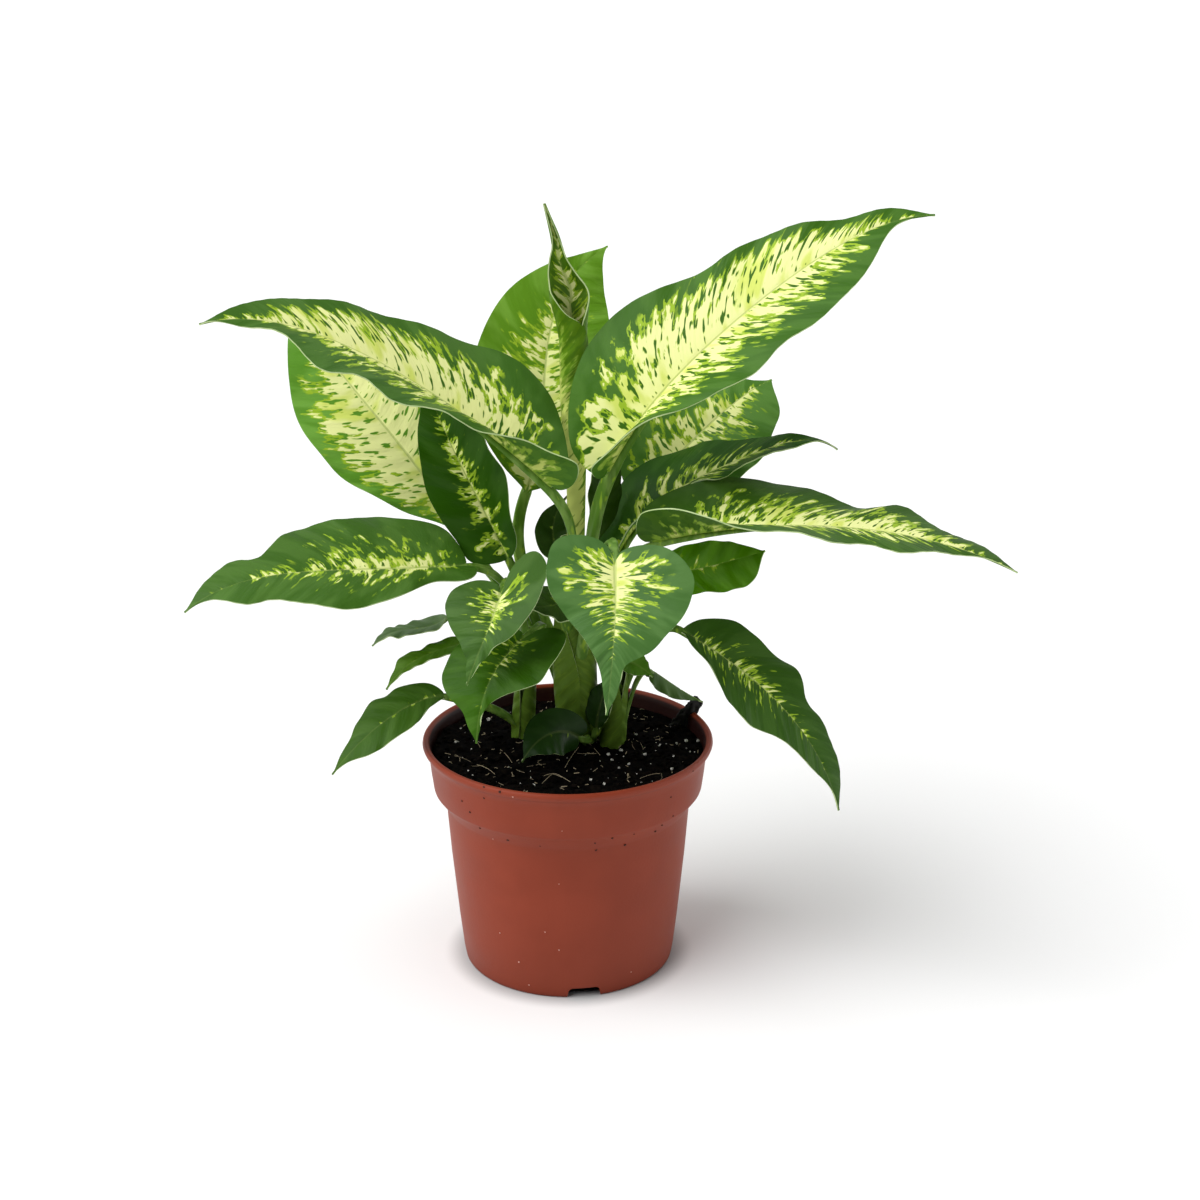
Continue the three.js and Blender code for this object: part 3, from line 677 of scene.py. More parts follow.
# %% A tube along a path
def tube(name, centres, radii, sides, shape=None, facing=None):
    """A closed tube through centres (mm). shape(angle, share) scales the radius, from angle 0 at facing."""
    begin()
    bpy.ops.mesh.primitive_cylinder_add(vertices=sides, radius=1, depth=2, end_fill_type="NGON")
    piece = bpy.context.object
    piece.name = name
    last = len(centres) - 1
    edit_edges(piece, lambda a, b: abs(a.z - b.z) > 1)
    bpy.ops.mesh.subdivide(number_cuts=last - 1)
    bpy.ops.object.mode_set(mode="OBJECT")
    facing = facing or (lambda share: Vector((0, -1, 0)))
    frames = []
    for i, centre in enumerate(centres):
        ahead = (centres[min(i + 1, last)] - centres[max(i - 1, 0)]).normalized()
        front = facing(i / last)
        front = (front - ahead * front.dot(ahead)).normalized()
        frames.append((centre, front, ahead.cross(front)))
    for vertex in piece.data.vertices:
        share = (vertex.co.z + 1) / 2
        ring = round(share * last)
        angle = atan2(vertex.co.y, vertex.co.x)
        centre, front, side = frames[ring]
        wide, deep = shape(angle, share) if shape else (1, 1)
        offset = front * (cos(angle) * deep) + side * (sin(angle) * wide)
        vertex.co = (centre + offset * radii[ring]) * MM
    bpy.ops.object.shade_smooth()
    return piece


# %% Where the canes run
CANES = {
    "main_cane": ("cane_main", [(4, 10, 54), (4, 10, 90), (3, 8, 125), (3, 7, 152)], (7.6, 5.0)),
    "left_cane": ("cane_left", [(-20, 13, 54), (-19, 12, 90), (-17, 10, 118), (-16, 9, 138)], (3.5, 2.7)),
    "right_cane": ("cane_right", [(19, 7, 54), (19, 6, 90), (20, 5, 120), (21, 4, 146)], (4.1, 3.1)),
}
CANE_STEPS = 48
CANE_SIDES = 28
SCARS = 8
SCAR_SWELL = 0.3
SCAR_WIDTH = 0.12


def steps(count):
    """0 to 1 in equal steps."""
    return [i / count for i in range(count + 1)]


def through(points, share):
    """The smooth curve through evenly spaced points, by Lagrange's formula."""
    last = len(points) - 1
    result = Vector((0, 0, 0))
    for i, point in enumerate(points):
        weight = 1.0
        for j in range(last + 1):
            if j != i:
                weight *= (share * last - j) / (i - j)
        result += Vector(point) * weight
    return result


def swelling(share):
    return SCAR_SWELL * exp(-((share * SCARS % 1 - 0.5) / SCAR_WIDTH) ** 2)


print("main cane, half way up:", [round(v, 1) for v in through(CANES["main_cane"][1], 0.5)])

# %% Green bark
bark, tree, shader = new_material("green_cane")
cloud = noise_of(tree, 110.0, 3.0, stretch=(1, 1, 0.35))
tone = blend(tree, between(tree, cloud, 0.35, 0.65), paint(52, 72, 20), paint(96, 116, 48))
foot = below(tree, own_height(tree), 0.092, 0.118)
tone = blend(tree, times(tree, foot, 0.8), tone, paint(92, 76, 40))
surface(tree, shader, tone, 0.48, relief=(0.25, 0.0004, cloud))
print("green cane:", len(tree.nodes), "nodes")

# %% Canes
for name, (cad, path, (bottom, top)) in CANES.items():
    centres = [through(path, share) for share in steps(CANE_STEPS)]
    radii = [mix(bottom, top, share) + swelling(share) for share in steps(CANE_STEPS)]
    radii[-1] = top * 0.5
    settle(tube(name, centres, radii, CANE_SIDES), "cane", cad, material=bark)
print("canes:", list(CANES))

# %% [markdown]
# ## Leaves: their shape
# A leaf is planned as on paper. Its midrib is a curve through a few evenly spaced points, and `face` says
# where the upper side looks. `sides` gives how far each half reaches from the midrib at every tenth of its
# length, and a leaf that has none is swollen by a formula with a width and a belly. Each half also has a
# lobe that reaches back past the collar, and an angle by which it is raised, which changes from `fold` at
# the collar to `open` at the tip. Where the halves agree, one number stands for both. Lines of equal `u` are
# the side veins, which lean towards the tip. The same numbers shape the CAD solids, so the blades lie in the
# same space. `tone` is the green of the margin. `cream` gives the width of the pale band at evenly spaced
# places from the base to the tip, as a share of the half's width and as a pair where the halves differ, and
# `grain` is how fine its flecks are along and across the veins.

# %% Leaf table
LEAF = dict(
    kind="green_leaf", rise=(0, 0, 1), pull=0.35, stalk=(2.2, 1.5), sides=None, width=20, belly=0.72, tail=1,
    lobe=0.1, fold=25, open=10, relax=2, wave=1.2, waves=4, phase=(0, 0.4), rows=84,
    columns=36, tone=(78, 112, 44), cream=(0.1, 0.2, -0.3), grain=(1, 1),
)
LEAVES = {
    "upper_left": dict(
        kind="pale_leaf", root=(0, 4, 132), rise=(-0.1, -0.25, 1), stalk=(2.8, 2.1),
        rib=[(-6, -14, 209), (-34.5, -13, 234), (-66.5, -17, 257), (-100.5, -25, 274.7), (-135, -38, 279)],
        face=(0.3, -0.4, 0.9),
        sides=((20, 18, 22, 28, 27, 26.5, 25, 11.5, 3), (15, 32, 37, 30.5, 26.5, 22, 18, 12.3, 6.3)),
        lobe=(0.1, 0.08), fold=(95, 34), open=20, relax=3.5, wave=(2.2, 0.8), waves=5, phase=(0.25, 0.9),
        rows=120, columns=44, tone=(60, 100, 30),
        cream=((0.3, 0.3, 0.4, 0.3, 0.2, -0.5), (0.2, 0.3, 0.6, 0.75, 0.6, -0.4)),
    ),
    "behind_upper_left": dict(
        kind="pale_leaf", root=(-1, 13, 118), rise=(-0.4, 0.2, 1), stalk=(2.2, 1.7),
        rib=[(-44, 20, 181), (-65, 28, 210), (-90, 38, 239), (-113, 52, 266)], face=(0.1, -0.8, 0.6),
        sides=((6, 15, 22, 27, 28.5, 28.5, 24.5, 18, 9.5), (11, 20, 26, 30, 31, 30, 26, 19.5, 11)),
        lobe=0.04, fold=15, rows=110, columns=44, tone=(88, 140, 40), cream=(0.5, 0.65, 0.8, 0.8, 0.5, -0.2),
    ),
    "dark_left": dict(
        root=(-2, 10, 112), rise=(-0.3, 0, 1), stalk=(2.2, 1.6),
        rib=[(-24, 7, 173), (-37.5, 10, 201), (-49, 14, 225), (-57, 20, 247)], face=(-0.1, -0.9, 0.45),
        sides=((14, 15.5, 17.5, 17.5, 16, 13.5, 10.5, 6.5, 3), (8, 13, 17, 19, 18, 16, 12, 8, 4)), lobe=0.05,
        fold=(20, 55), open=(10, 45), tone=(38, 78, 2), cream=(0.06, 0.06, 0.04, -0.04, -0.3),
    ),
    "upright_back": dict(
        kind="pale_leaf", root=(-2, 13, 122), rise=(-0.3, 0.1, 1), pull=0.4, stalk=(2.6, 2.1),
        rib=[(-17, 26, 195), (-10, 34, 232), (-5, 44, 266), (16.5, 53, 291.5)], face=(0.05, -0.95, 0.3),
        sides=((14, 23, 27.5, 29, 28.5, 25.5, 20, 12.5, 4.5), (12, 21, 26, 28, 28, 26, 23, 18.5, 11)),
        lobe=0.02, fold=20, tone=(90, 136, 28), cream=(0.45, 0.5, 0.4, 0.1, -0.6),
    ),
    "upper_right": dict(
        kind="pale_leaf", root=(7, 4, 140), rise=(0.1, -0.2, 1), stalk=(3.4, 2.6),
        rib=[(17, -9, 214), (40.5, -8, 249), (70.5, -4, 277), (105, 2, 300.7), (142, 6, 312)],
        face=(-0.3, -0.7, 0.6),
        sides=((20, 33, 36.5, 31.5, 24.5, 23, 17, 9.2, 5.6), (15, 15, 24, 28, 25, 24, 22, 13.5, 2)),
        lobe=0.08, fold=(34, 102), open=(15, 14), relax=4, wave=(1.5, 1), waves=5.9, phase=(0, 0.12),
        rows=130, columns=48, tone=(58, 100, 24),
        cream=((1.6, 0.4, 0.75, 0.9, 0.75, -0.4), (0.5, 0.5, 0.5, 0.45, 0.4, -0.5)),
    ),
    "behind_upper_right": dict(
        kind="pale_leaf", root=(6, 12, 134), rise=(0.2, 0.3, 1), stalk=(2.2, 1.7),
        rib=[(30, 30, 194), (49, 38, 211), (67, 46, 226), (85, 56, 235)], face=(-0.2, -0.8, 0.6),
        sides=((12, 21, 26, 27, 26, 22, 17, 10, 3.5), (12, 20, 26, 28, 28, 26.5, 23.5, 19, 14)),
        tone=(74, 118, 42), cream=(0.2, 0.3, 0.35, 0.25, -0.3),
    ),
    "right": dict(
        root=(8, 8, 126), rise=(0.2, 0, 1), stalk=(2.2, 1.7),
        rib=[
            (20.7, 12, 172.3), (32.6, 12.5, 190.2), (49, 13, 202.7), (66.6, 10.5, 212.3), (86.5, 5, 221.5),
            (107.2, 0, 220.4),
        ],
        face=(-0.2, -0.15, 1),
        sides=((10, 17, 23, 24, 20.5, 15, 10.5, 5.5, 2.5), (5, 8, 9.5, 9.5, 10.5, 12, 12, 7, 2)),
        lobe=(0.14, 0.05), fold=(45, 60), open=(20, 14), relax=4, tone=(40, 82, 8),
        cream=((-0.1, 0.0, 0.1, 0.1, -0.3), (0.1, 0.2, 0.3, 0.3, -0.2)),
    ),
    "long_right": dict(
        kind="pale_leaf", root=(21, 4, 140), rise=(0, -0.2, 1), stalk=(2.2, 1.7),
        rib=[(34, -20, 188.3), (67.5, -24, 195.5), (102.5, -30, 198), (138, -35.5, 194.6), (174, -38, 182)],
        face=(0.1, -0.1, 1),
        sides=((17, 26.5, 34, 30, 24, 20.5, 24, 13.5, 10), (17, 23.5, 22, 19, 21, 15.5, 19.5, 7.5, 1.2)),
        fold=(45, 76), open=(10, 8), relax=3.2, wave=1, phase=(0.5, 0.4), rows=120, columns=40,
        tone=(54, 90, 22), cream=((-0.2, 0.1, 0.4, 0.4, 0.4, -0.2), (0.1, 0.1, 0.2, 0.3, 0.2, -0.4)),
    ),
    "small_right": dict(
        root=(22, 7, 126), rise=(0.2, 0.4, 1), stalk=(1.7, 1.3),
        rib=[(35, 16, 163), (50, 12, 166), (65, 8, 171), (80, 4, 177)], face=(0, -0.8, 0.6),
        sides=((7, 9, 10.5, 11, 11, 10, 8.5, 6, 3), (6, 8.5, 10, 10.5, 11, 12, 12.5, 12, 8.5)), fold=10,
        wave=0.7, tone=(76, 128, 2), cream=(-0.4, -0.2, -0.3, -0.7),
    ),
    "front_heart": dict(
        kind="pale_leaf", root=(5, 2, 128), rise=(0.1, -0.5, 1), pull=0.4, stalk=(2.2, 1.7),
        rib=[(19, -40, 188), (19, -56, 172), (18, -66, 157), (15.8, -70, 136)], face=(0, -0.8, 0.6),
        sides=((20, 29.5, 29, 26, 19.5, 14, 5.5, 4, 2.5), (21, 26.5, 25.5, 19, 13.5, 9.5, 5.7, 3.2, 2)),
        lobe=(0.13, 0.2), fold=20, waves=3, rows=100, columns=44, tone=(68, 106, 48),
        cream=(0.42, 0.42, 0.2, -0.05, -0.6, -1), grain=(2.1, 0.9),
    ),
    "left": dict(
        root=(-17, 8, 132), rise=(-0.1, -0.1, 1), stalk=(2.2, 1.8),
        rib=[(-40, -8, 175), (-67.5, -14, 175.5), (-95.5, -21, 177), (-123, -28.5, 175.7), (-148, -36, 165)],
        face=(0.1, -0.3, 0.95),
        sides=((11, 10, 21, 24.5, 26.5, 21, 14.5, 15, 2.5), (19.5, 27, 32, 29.5, 29.5, 24, 12.5, 14, 7)),
        lobe=(0.1, 0.05), fold=(14, 20), wave=1, phase=(0, 0.6), rows=110, columns=44, tone=(60, 98, 28),
        cream=((-0.35, -0.02, 0.06, -0.02, -0.3, -0.9), (-0.3, 0.04, 0.16, 0.1, -0.25, -0.9)),
    ),
    "small_heart": dict(
        root=(-16, 6, 124), rise=(0, -0.5, 1), stalk=(1.9, 1.4),
        rib=[(-25, -34, 173), (-28.5, -44, 164), (-33, -50, 154), (-38, -52, 141)], face=(-0.2, -0.7, 0.7),
        sides=((13, 20, 18.5, 13.5, 9.5, 5.5, 3.2, 2.2, 1), (11, 18, 19.5, 18.5, 16, 12, 7.2, 3.7, 1.9)),
        lobe=(0.45, 0.15), fold=(30, 25), wave=0.7, tone=(60, 94, 34), cream=(0.1, 0.2, 0.1, -0.2, -0.8, -1),
        grain=(2, 1.1),
    ),
    "low_front": dict(
        root=(-14, 7, 130), rise=(0.2, -0.2, 1), pull=0.5, stalk=(1.8, 1.4),
        rib=[(-17, -24, 150), (-26, -36, 143.5), (-32, -45, 133), (-35, -48, 115)], face=(-0.2, -0.7, 0.7),
        sides=((13, 18, 20, 19.5, 16, 9, 3.2, 1.5, 0.9), (9, 14.5, 17.5, 19, 19.5, 19, 16, 8, 4)),
        lobe=(0.3, 0.1), fold=20, wave=0.8, tone=(50, 90, 8), cream=(-0.2, -0.12, -0.2, -0.5, -0.9),
        grain=(1.5, 1),
    ),
    "lower_left": dict(
        root=(-21, 10, 98), rise=(-0.5, -0.3, 0.8), stalk=(1.9, 1.3),
        rib=[(-50, -4, 117), (-61, -10, 117), (-77, -18, 109), (-95, -24, 91)], face=(-0.5, -0.7, 0.5),
        sides=((1.8, 3.4, 5.6, 8.2, 10, 9.9, 9.1, 7.8, 2.3), (3.4, 7, 9, 9.8, 9.8, 11.2, 8.6, 5.4, 2.7)),
        lobe=0.02, fold=10, wave=0.5, tone=(56, 92, 20), cream=(-0.6, -0.4, -0.9),
    ),
    "thin_left": dict(
        root=(-20, 11, 110), rise=(-0.3, 0, 1), stalk=(1.5, 1),
        rib=[(-43, 6, 137), (-53, 4, 134), (-64, 0, 130), (-74, -4, 120)], face=(0, -0.3, 0.9),
        sides=((4, 5, 4.6, 4, 4, 3.9, 2.6, 2, 1), (4, 5.4, 5.5, 4.8, 4.4, 5.2, 6, 4, 1.6)), lobe=0.05,
        fold=12, wave=0.3, rows=60, columns=24, tone=(76, 118, 14), cream=(-0.6, -0.5, -0.9),
    ),
    "edge_left": dict(
        root=(-19, 13, 120), rise=(-0.3, 0.2, 1), stalk=(1.5, 1),
        rib=[(-50, 14, 145), (-60, 12, 141), (-70, 8, 141), (-80, 4, 136)], face=(0, -0.1, 1),
        sides=((4.5, 5.4, 5.5, 4.4, 5.7, 6.6, 5, 3.5, 1), (4.9, 6.9, 7.8, 6.3, 4.9, 5, 3.5, 4.4, 1.9)),
        lobe=0.05, fold=12, wave=0.7, rows=60, columns=24, tone=(98, 126, 80), cream=(-0.6, -0.5, -0.9),
    ),
    "lower_right": dict(
        root=(23, 4, 116), rise=(0.3, 0, 1), stalk=(1.9, 1.5),
        rib=[(47, -2, 145), (71, -12, 131), (94, -22, 110), (110, -28, 77)], face=(0.5, -0.7, 0.5),
        sides=((9, 16, 16, 15.5, 17, 11, 10.8, 8.5, 6), (4, 7.5, 12, 17, 18.5, 13, 9.2, 6, 1.4)),
        lobe=(0.05, 0.02), fold=20, wave=0.6, tone=(50, 84, 22),
        cream=(-0.5, -0.2, -0.02, -0.05, -0.4, -0.9), grain=(1.5, 1),
    ),
    "at_soil": dict(
        root=(7, 3, 95), rise=(0.6, -0.7, 0.6), stalk=(1.6, 1.2),
        rib=[(5, -14, 103), (-4, -20, 108), (-12, -26, 106), (-18, -30, 99)], face=(-0.1, -0.8, 0.5), fold=5,
        wave=0.4, rows=60, columns=28, tone=(24, 50, 10), cream=(-0.7, -0.7, -0.9),
    ),
    "drooping_right": dict(
        root=(22, 4, 96), rise=(0.2, -0.1, 1), stalk=(1.4, 0.9),
        rib=[(35, 10, 123), (40, 14, 118), (48, 20, 110), (57, 26, 102.5)], face=(0.3, -0.2, 0.9), width=12,
        fold=-50, open=-40, wave=0.3, rows=48, columns=24, tone=(60, 90, 32), cream=(-0.7, -0.7, -0.9),
    ),
    "tiny_right": dict(
        root=(22, 4, 116), rise=(0, -0.2, 1), stalk=(1.3, 0.9),
        rib=[(22, -1, 131), (27, -3, 131), (31, -4, 129), (35, -5, 126)], face=(0, -0.7, 0.7), width=10,
        fold=10, wave=0.2, rows=36, columns=18, tone=(66, 108, 20), cream=(-0.7, -0.7, -0.9),
    ),
    "bud_right": dict(
        root=(9, 3, 94), rise=(0.2, -0.3, 1), pull=0.2, stalk=(1.8, 1.4),
        rib=[(12, -2, 102), (13, -2, 110), (15, -2, 118), (17, -2, 125)], face=(-0.5, -0.9, 0.3),
        width=(13, 11), belly=0.8, lobe=0, fold=20, wave=0.3, rows=48, columns=24, tone=(26, 52, 8),
        cream=(-0.7, -0.7, -0.9),
    ),
    "inner_left": dict(
        root=(2, 13, 128), rise=(0, 0.4, 1), stalk=(1.6, 1.2),
        rib=[(-4, 20, 170), (-6, 24, 177), (-5, 26, 185), (0, 28, 193)], face=(0, -0.9, 0.4), width=15,
        wave=0.4, rows=48, columns=24, tone=(38, 66, 12), cream=(-0.5, -0.5, -0.9),
    ),
    "inner_right": dict(
        root=(7, 10, 142), rise=(0.1, 0.1, 1), stalk=(1.8, 1.4),
        rib=[(11, 13, 178), (14.5, 16.5, 191), (16, 20.5, 204), (19.5, 24, 219)], face=(0.5, -0.9, 0.3),
        width=15, belly=1, tail=0.3, lobe=0, fold=10, wave=0.4, rows=48, columns=24, tone=(44, 74, 10),
        cream=(-0.5, -0.5, -0.9),
    ),
    "inner_front": dict(
        root=(1, 4, 122), rise=(0, -0.3, 1), stalk=(1.6, 1.2),
        rib=[(3, -6, 160), (-3, -12, 160), (-8, -18, 161), (-15, -24, 163)], face=(0, -0.5, 0.9), width=26,
        belly=0.8, tail=0.3, lobe=0.05, fold=10, wave=0.5, rows=60, columns=28, tone=(40, 68, 14),
        cream=(-0.5, -0.5, -0.9),
    ),
}
HALVED = ("width", "belly", "lobe", "fold", "open", "wave")


def planned(row):
    """A whole leaf: its row, the usual values, and a pair wherever the two halves can differ."""
    leaf = {**LEAF, **row}
    for key in HALVED:
        if not isinstance(leaf[key], tuple):
            leaf[key] = (leaf[key], leaf[key])
    return leaf


LEAVES = {name: planned(row) for name, row in LEAVES.items()}
print(len(LEAVES), "leaves, and the spear")

# %% Shape of a blade
VEIN_SWEEP = 0.15
VEIN_CURVE = 1.4
TIP = 0.4
CURL = radians(-17)
NEARBY = 1e-3


def clamp(value, low=0.0, high=1.0):
    return max(low, min(high, value))


def smoothly(values, place):
    """The smooth curve through evenly spaced values, at a place that counts from the first of them."""
    last = len(values) - 1
    i = min(int(place), last - 1)
    x = place - i
    p, q, r, s = (values[clamp(i + j, 0, last)] for j in (-1, 0, 1, 2))
    return q + x / 2 * (r - p + x * (2 * p - 5 * q + 4 * r - s + x * (3 * (q - r) + s - p)))


def half_reach(leaf, u, k):
    """How far a half of the blade reaches from the midrib (mm)."""
    if leaf["sides"]:
        return smoothly((0, *leaf["sides"][k], 0), 10 * clamp(u))
    swell = max(sin(pi * min(u, 1) ** leaf["belly"][k]), 0)
    return leaf["width"][k] / 2 * swell ** (0.85 + leaf["tail"] * u ** 4)


def rib_frame(leaf, share):
    """A point of the midrib (mm) with the ways ahead, up and to the right."""
    near = clamp(share)
    speed = (through(leaf["rib"], near + NEARBY) - through(leaf["rib"], near - NEARBY)) / (2 * NEARBY)
    ahead = speed.normalized()
    point = through(leaf["rib"], near) + speed * (share - near)
    up = Vector(leaf["face"])
    up = (up - ahead * up.dot(ahead)).normalized()
    return point, ahead, up, ahead.cross(up)


def blade_point(leaf, u, t):
    """Place (mm), way out of the upper side, distance from the midrib and the start of the vein there."""
    k, side, out = (0, -1, -t) if t < 0 else (1, 1, t)
    start = u - VEIN_SWEEP * sin(pi * u)
    end = u - leaf["lobe"][k] * 10 * u * exp(1 - 10 * u)
    along = start + (end - start) * out ** VEIN_CURVE
    radius = max(half_reach(leaf, u, k), TIP + (1 - u) ** 8) / CURL
    bend = CURL * out
    across = radius * sin(bend)
    raised = radians(mix(leaf["open"][k], leaf["fold"][k], (1 - clamp(along)) ** leaf["relax"]))
    ripple = leaf["wave"][k] * sqrt(max(0, sin(pi * u)))
    ripple *= sin(2 * pi * (leaf["waves"] * u + leaf["phase"][k]))
    lift = radius * (1 - cos(bend)) + ripple * out * out
    point, _, up, right = rib_frame(leaf, along)
    point = point + right * (side * (across * cos(raised) - lift * sin(raised)))
    point = point + up * (across * sin(raised) + lift * cos(raised))
    slope = raised + bend
    outward = up * cos(slope) - right * (side * sin(slope)) if t else up
    return point, outward, radius * bend, start


print("middle of the front heart:", [round(v) for v in blade_point(LEAVES["front_heart"], 0.5, 0)[0]])

# %% [markdown]
# ## Leaves: their skin
# The cream of a variegated leaf follows the side veins, because each stripe of cells between two veins grows
# outwards from the midrib. So the pattern is drawn in a map of its own, with the place where a vein starts
# as one axis and the distance along the vein as the other, both in centimetres. Noise that is fine across
# the veins and long along them makes the feathered fringe, the dark flecks in the cream and the lime flecks
# in the green. Three values are stored on the mesh: how pale a place is meant to be, how near it is to the
# midrib, and the leaf's own green. The underside is duller and lighter, and the cut edge shows as a thin
# pale line.

# %% The map of the veins
CREAM = paint(232, 236, 160)
STRAW = paint(208, 220, 108)
LIME = paint(150, 182, 46)
MIDRIB = paint(184, 198, 116)
PLEAT_RATE = 9.0


def stored(tree, name, output):
    return node(tree, "Attribute", {}, attribute_name=name).outputs[output]


def veined(tree, chart, detail, across, along, shift=(0, 0)):
    """Noise over the map of the veins, at one scale across them and another along them."""
    return noise_of(tree, 1.0, detail, (across, along, 1), (*shift, 0), chart)


def leaf_fields(tree):
    """What both sides of a leaf share: the map, the field of paleness, its feathers, flecks and pleats."""
    chart = node(tree, "UVMap", {}, uv_map="veins").outputs[0]
    feather = veined(tree, chart, 3.0, 6.0, 2.2)
    blotch = veined(tree, chart, 1.0, 2.6, 1.2, (7, 3))
    field = maths(tree, "ADD", stored(tree, "pale", "Fac"), maths(tree, "MULTIPLY_ADD", feather, 1.2, -0.6))
    field = maths(tree, "ADD", field, maths(tree, "MULTIPLY_ADD", blotch, 1.6, -0.8))
    flecks = veined(tree, chart, 1.0, 5.6, 1.8, (17, 23))
    flecks = maths(tree, "SUBTRACT", flecks, times(tree, field, 0.1))
    start = node(tree, "SeparateXYZ", {0: chart}).outputs["X"]
    return chart, field, feather, flecks, maths(tree, "SINE", times(tree, start, PLEAT_RATE), 0.0)


# %% Upper side of a leaf
def leaf_upper():
    material, tree, shader = new_material("leaf_upper_side")
    chart, field, feather, flecks, pleats = leaf_fields(tree)
    rib, green = stored(tree, "rib", "Fac"), stored(tree, "tone", "Color")
    patch = veined(tree, chart, 2.0, 1.1, 0.5, (2, 9))
    light_green = {"Hue": 0.495, "Saturation": 0.95, "Value": 1.3, "Color": green}
    light_green = node(tree, "HueSaturation", light_green).outputs[0]
    colour = blend(tree, between(tree, patch, 0.42, 0.62), green, light_green)
    spots = between(tree, veined(tree, chart, 1.0, 4.5, 1.8, (31, 5)), 0.59, 0.65)
    spots = times(tree, spots, between(tree, field, -0.5, -0.1))
    colour = blend(tree, times(tree, spots, 0.7), colour, LIME)
    colour = blend(tree, between(tree, field, -0.17, -0.09), colour, LIME)
    cream = blend(tree, between(tree, patch, 0.5, 0.68), CREAM, STRAW)
    colour = blend(tree, between(tree, field, 0.02, 0.12), colour, cream)
    off_rib = times(tree, between(tree, rib, 1.5, 3.0), between(tree, field, -0.02, 0.06))
    halo = times(tree, between(tree, flecks, 0.55, 0.60), off_rib)
    colour = blend(tree, times(tree, halo, 0.8), colour, LIME)
    heart = times(tree, between(tree, flecks, 0.585, 0.625), off_rib)
    colour = blend(tree, heart, colour, green)
    shown = maths(tree, "MULTIPLY_ADD", between(tree, field, -0.25, 0.1), 0.68, 0.06)
    colour = blend(tree, times(tree, below(tree, rib, 0.7, 1.3), shown), colour, MIDRIB)
    gloss = between(tree, patch, 0.3, 0.7, 0.36, 0.46, "LINEAR")
    relief = maths(tree, "MULTIPLY_ADD", pleats, 0.25, feather)
    surface(tree, shader, colour, gloss, 0.1, (0.35, 0.0006, relief))
    return material


# %% Underside and edge of a leaf
UNDER_LIME = paint(126, 158, 52)
UNDER_CREAM = paint(190, 202, 106)


def leaf_under():
    material, tree, shader = new_material("leaf_underside")
    _, field, _, flecks, pleats = leaf_fields(tree)
    green = stored(tree, "tone", "Color")
    dull = node(tree, "HueSaturation", {"Hue": 0.49, "Value": 1.25, "Color": green}).outputs[0]
    colour = blend(tree, between(tree, field, -0.25, -0.1), dull, UNDER_LIME)
    colour = blend(tree, between(tree, field, 0.1, 0.35), colour, UNDER_CREAM)
    colour = blend(tree, times(tree, between(tree, flecks, 0.56, 0.61), 0.7), colour, green)
    vein = below(tree, stored(tree, "rib", "Fac"), 0.8, 2.0)
    colour = blend(tree, times(tree, vein, 0.5), colour, UNDER_LIME)
    surface(tree, shader, colour, 0.55, 0.1, (0.4, 0.0006, pleats))
    return material


leaf_edge = two_tone("leaf_cut_edge", 200.0, (140, 168, 100), (196, 212, 156), 0.5)
SKINS = [leaf_upper(), leaf_under(), leaf_edge]
print("leaf skins:", [skin.name for skin in SKINS])

# %% [markdown]
# ## Leaves: the blades
# Each blade starts as a flat grid, with `t` across and `u` along it. Its vertices are laid on the planned
# surface, crowded near the midrib, and pressed into a groove there, with a shallow pleat between the side
# veins. Solidify then gives it the half millimetre of a real leaf, with the underside and the edge as
# materials of their own.

# %% A sheet from a grid
CROWDING = 1.4


def sheet_of(name, rows, columns, lay):
    """A grid whose vertices are laid by lay(u, t), which gives place (mm), chart, paleness and rib."""
    begin()
    bpy.ops.mesh.primitive_grid_add(x_subdivisions=columns, y_subdivisions=rows, size=2)
    piece = bpy.context.object
    piece.name = name
    mesh = piece.data
    mesh.uv_layers[0].name = "veins"
    pale = mesh.attributes.new("pale", "FLOAT", "POINT")
    rib = mesh.attributes.new("rib", "FLOAT", "POINT")
    charts = []
    for i, vertex in enumerate(mesh.vertices):
        x, y = vertex.co.x, vertex.co.y
        t = copysign(abs(x) ** CROWDING, x) if abs(x) > 1e-6 else 0.0
        v = clamp((y + 1) / 2)
        u = (v + (1 - cos(pi * v)) / 2) / 2
        spot, chart, pale.data[i].value, rib.data[i].value = lay(u, t)
        vertex.co = spot * MM
        charts.append(chart)
    layer = mesh.uv_layers["veins"].data
    for loop in mesh.loops:
        layer[loop.index].uv = charts[loop.vertex_index]
    return piece


# %% Green, skins and thickness
BLADE = 0.5
EDGE_ANGLE = radians(60)


def tint(piece, tone):
    """Stores the leaf's own green on the mesh."""
    colour = piece.data.attributes.new("tone", "FLOAT_COLOR", "POINT")
    for entry in colour.data:
        entry.color = paint(*tone)


def clothe(piece, tone, slot, cad, thickness=BLADE):
    tint(piece, tone)
    for skin in SKINS:
        piece.data.materials.append(skin)
    solid = piece.modifiers.new("thickness", "SOLIDIFY")
    solid.thickness = thickness * MM
    solid.offset = 0
    solid.material_offset = 1
    solid.material_offset_rim = 2
    apply_all(piece)
    bpy.ops.object.shade_smooth_by_angle(angle=EDGE_ANGLE)
    return settle(piece, slot, cad)


# %% Blades
GROOVE = 0.22
GROOVE_WIDTH = 1.1
PLEAT = 0.1
PLEATS_PER_MM = 0.9
PLEAT_FADE = 6
FLUTTER = 0.5
FLUTTER_RATE = 31
MARGIN = 0.72
MARGIN_STEP = 0.25
MARGIN_DEPTH = 0.55


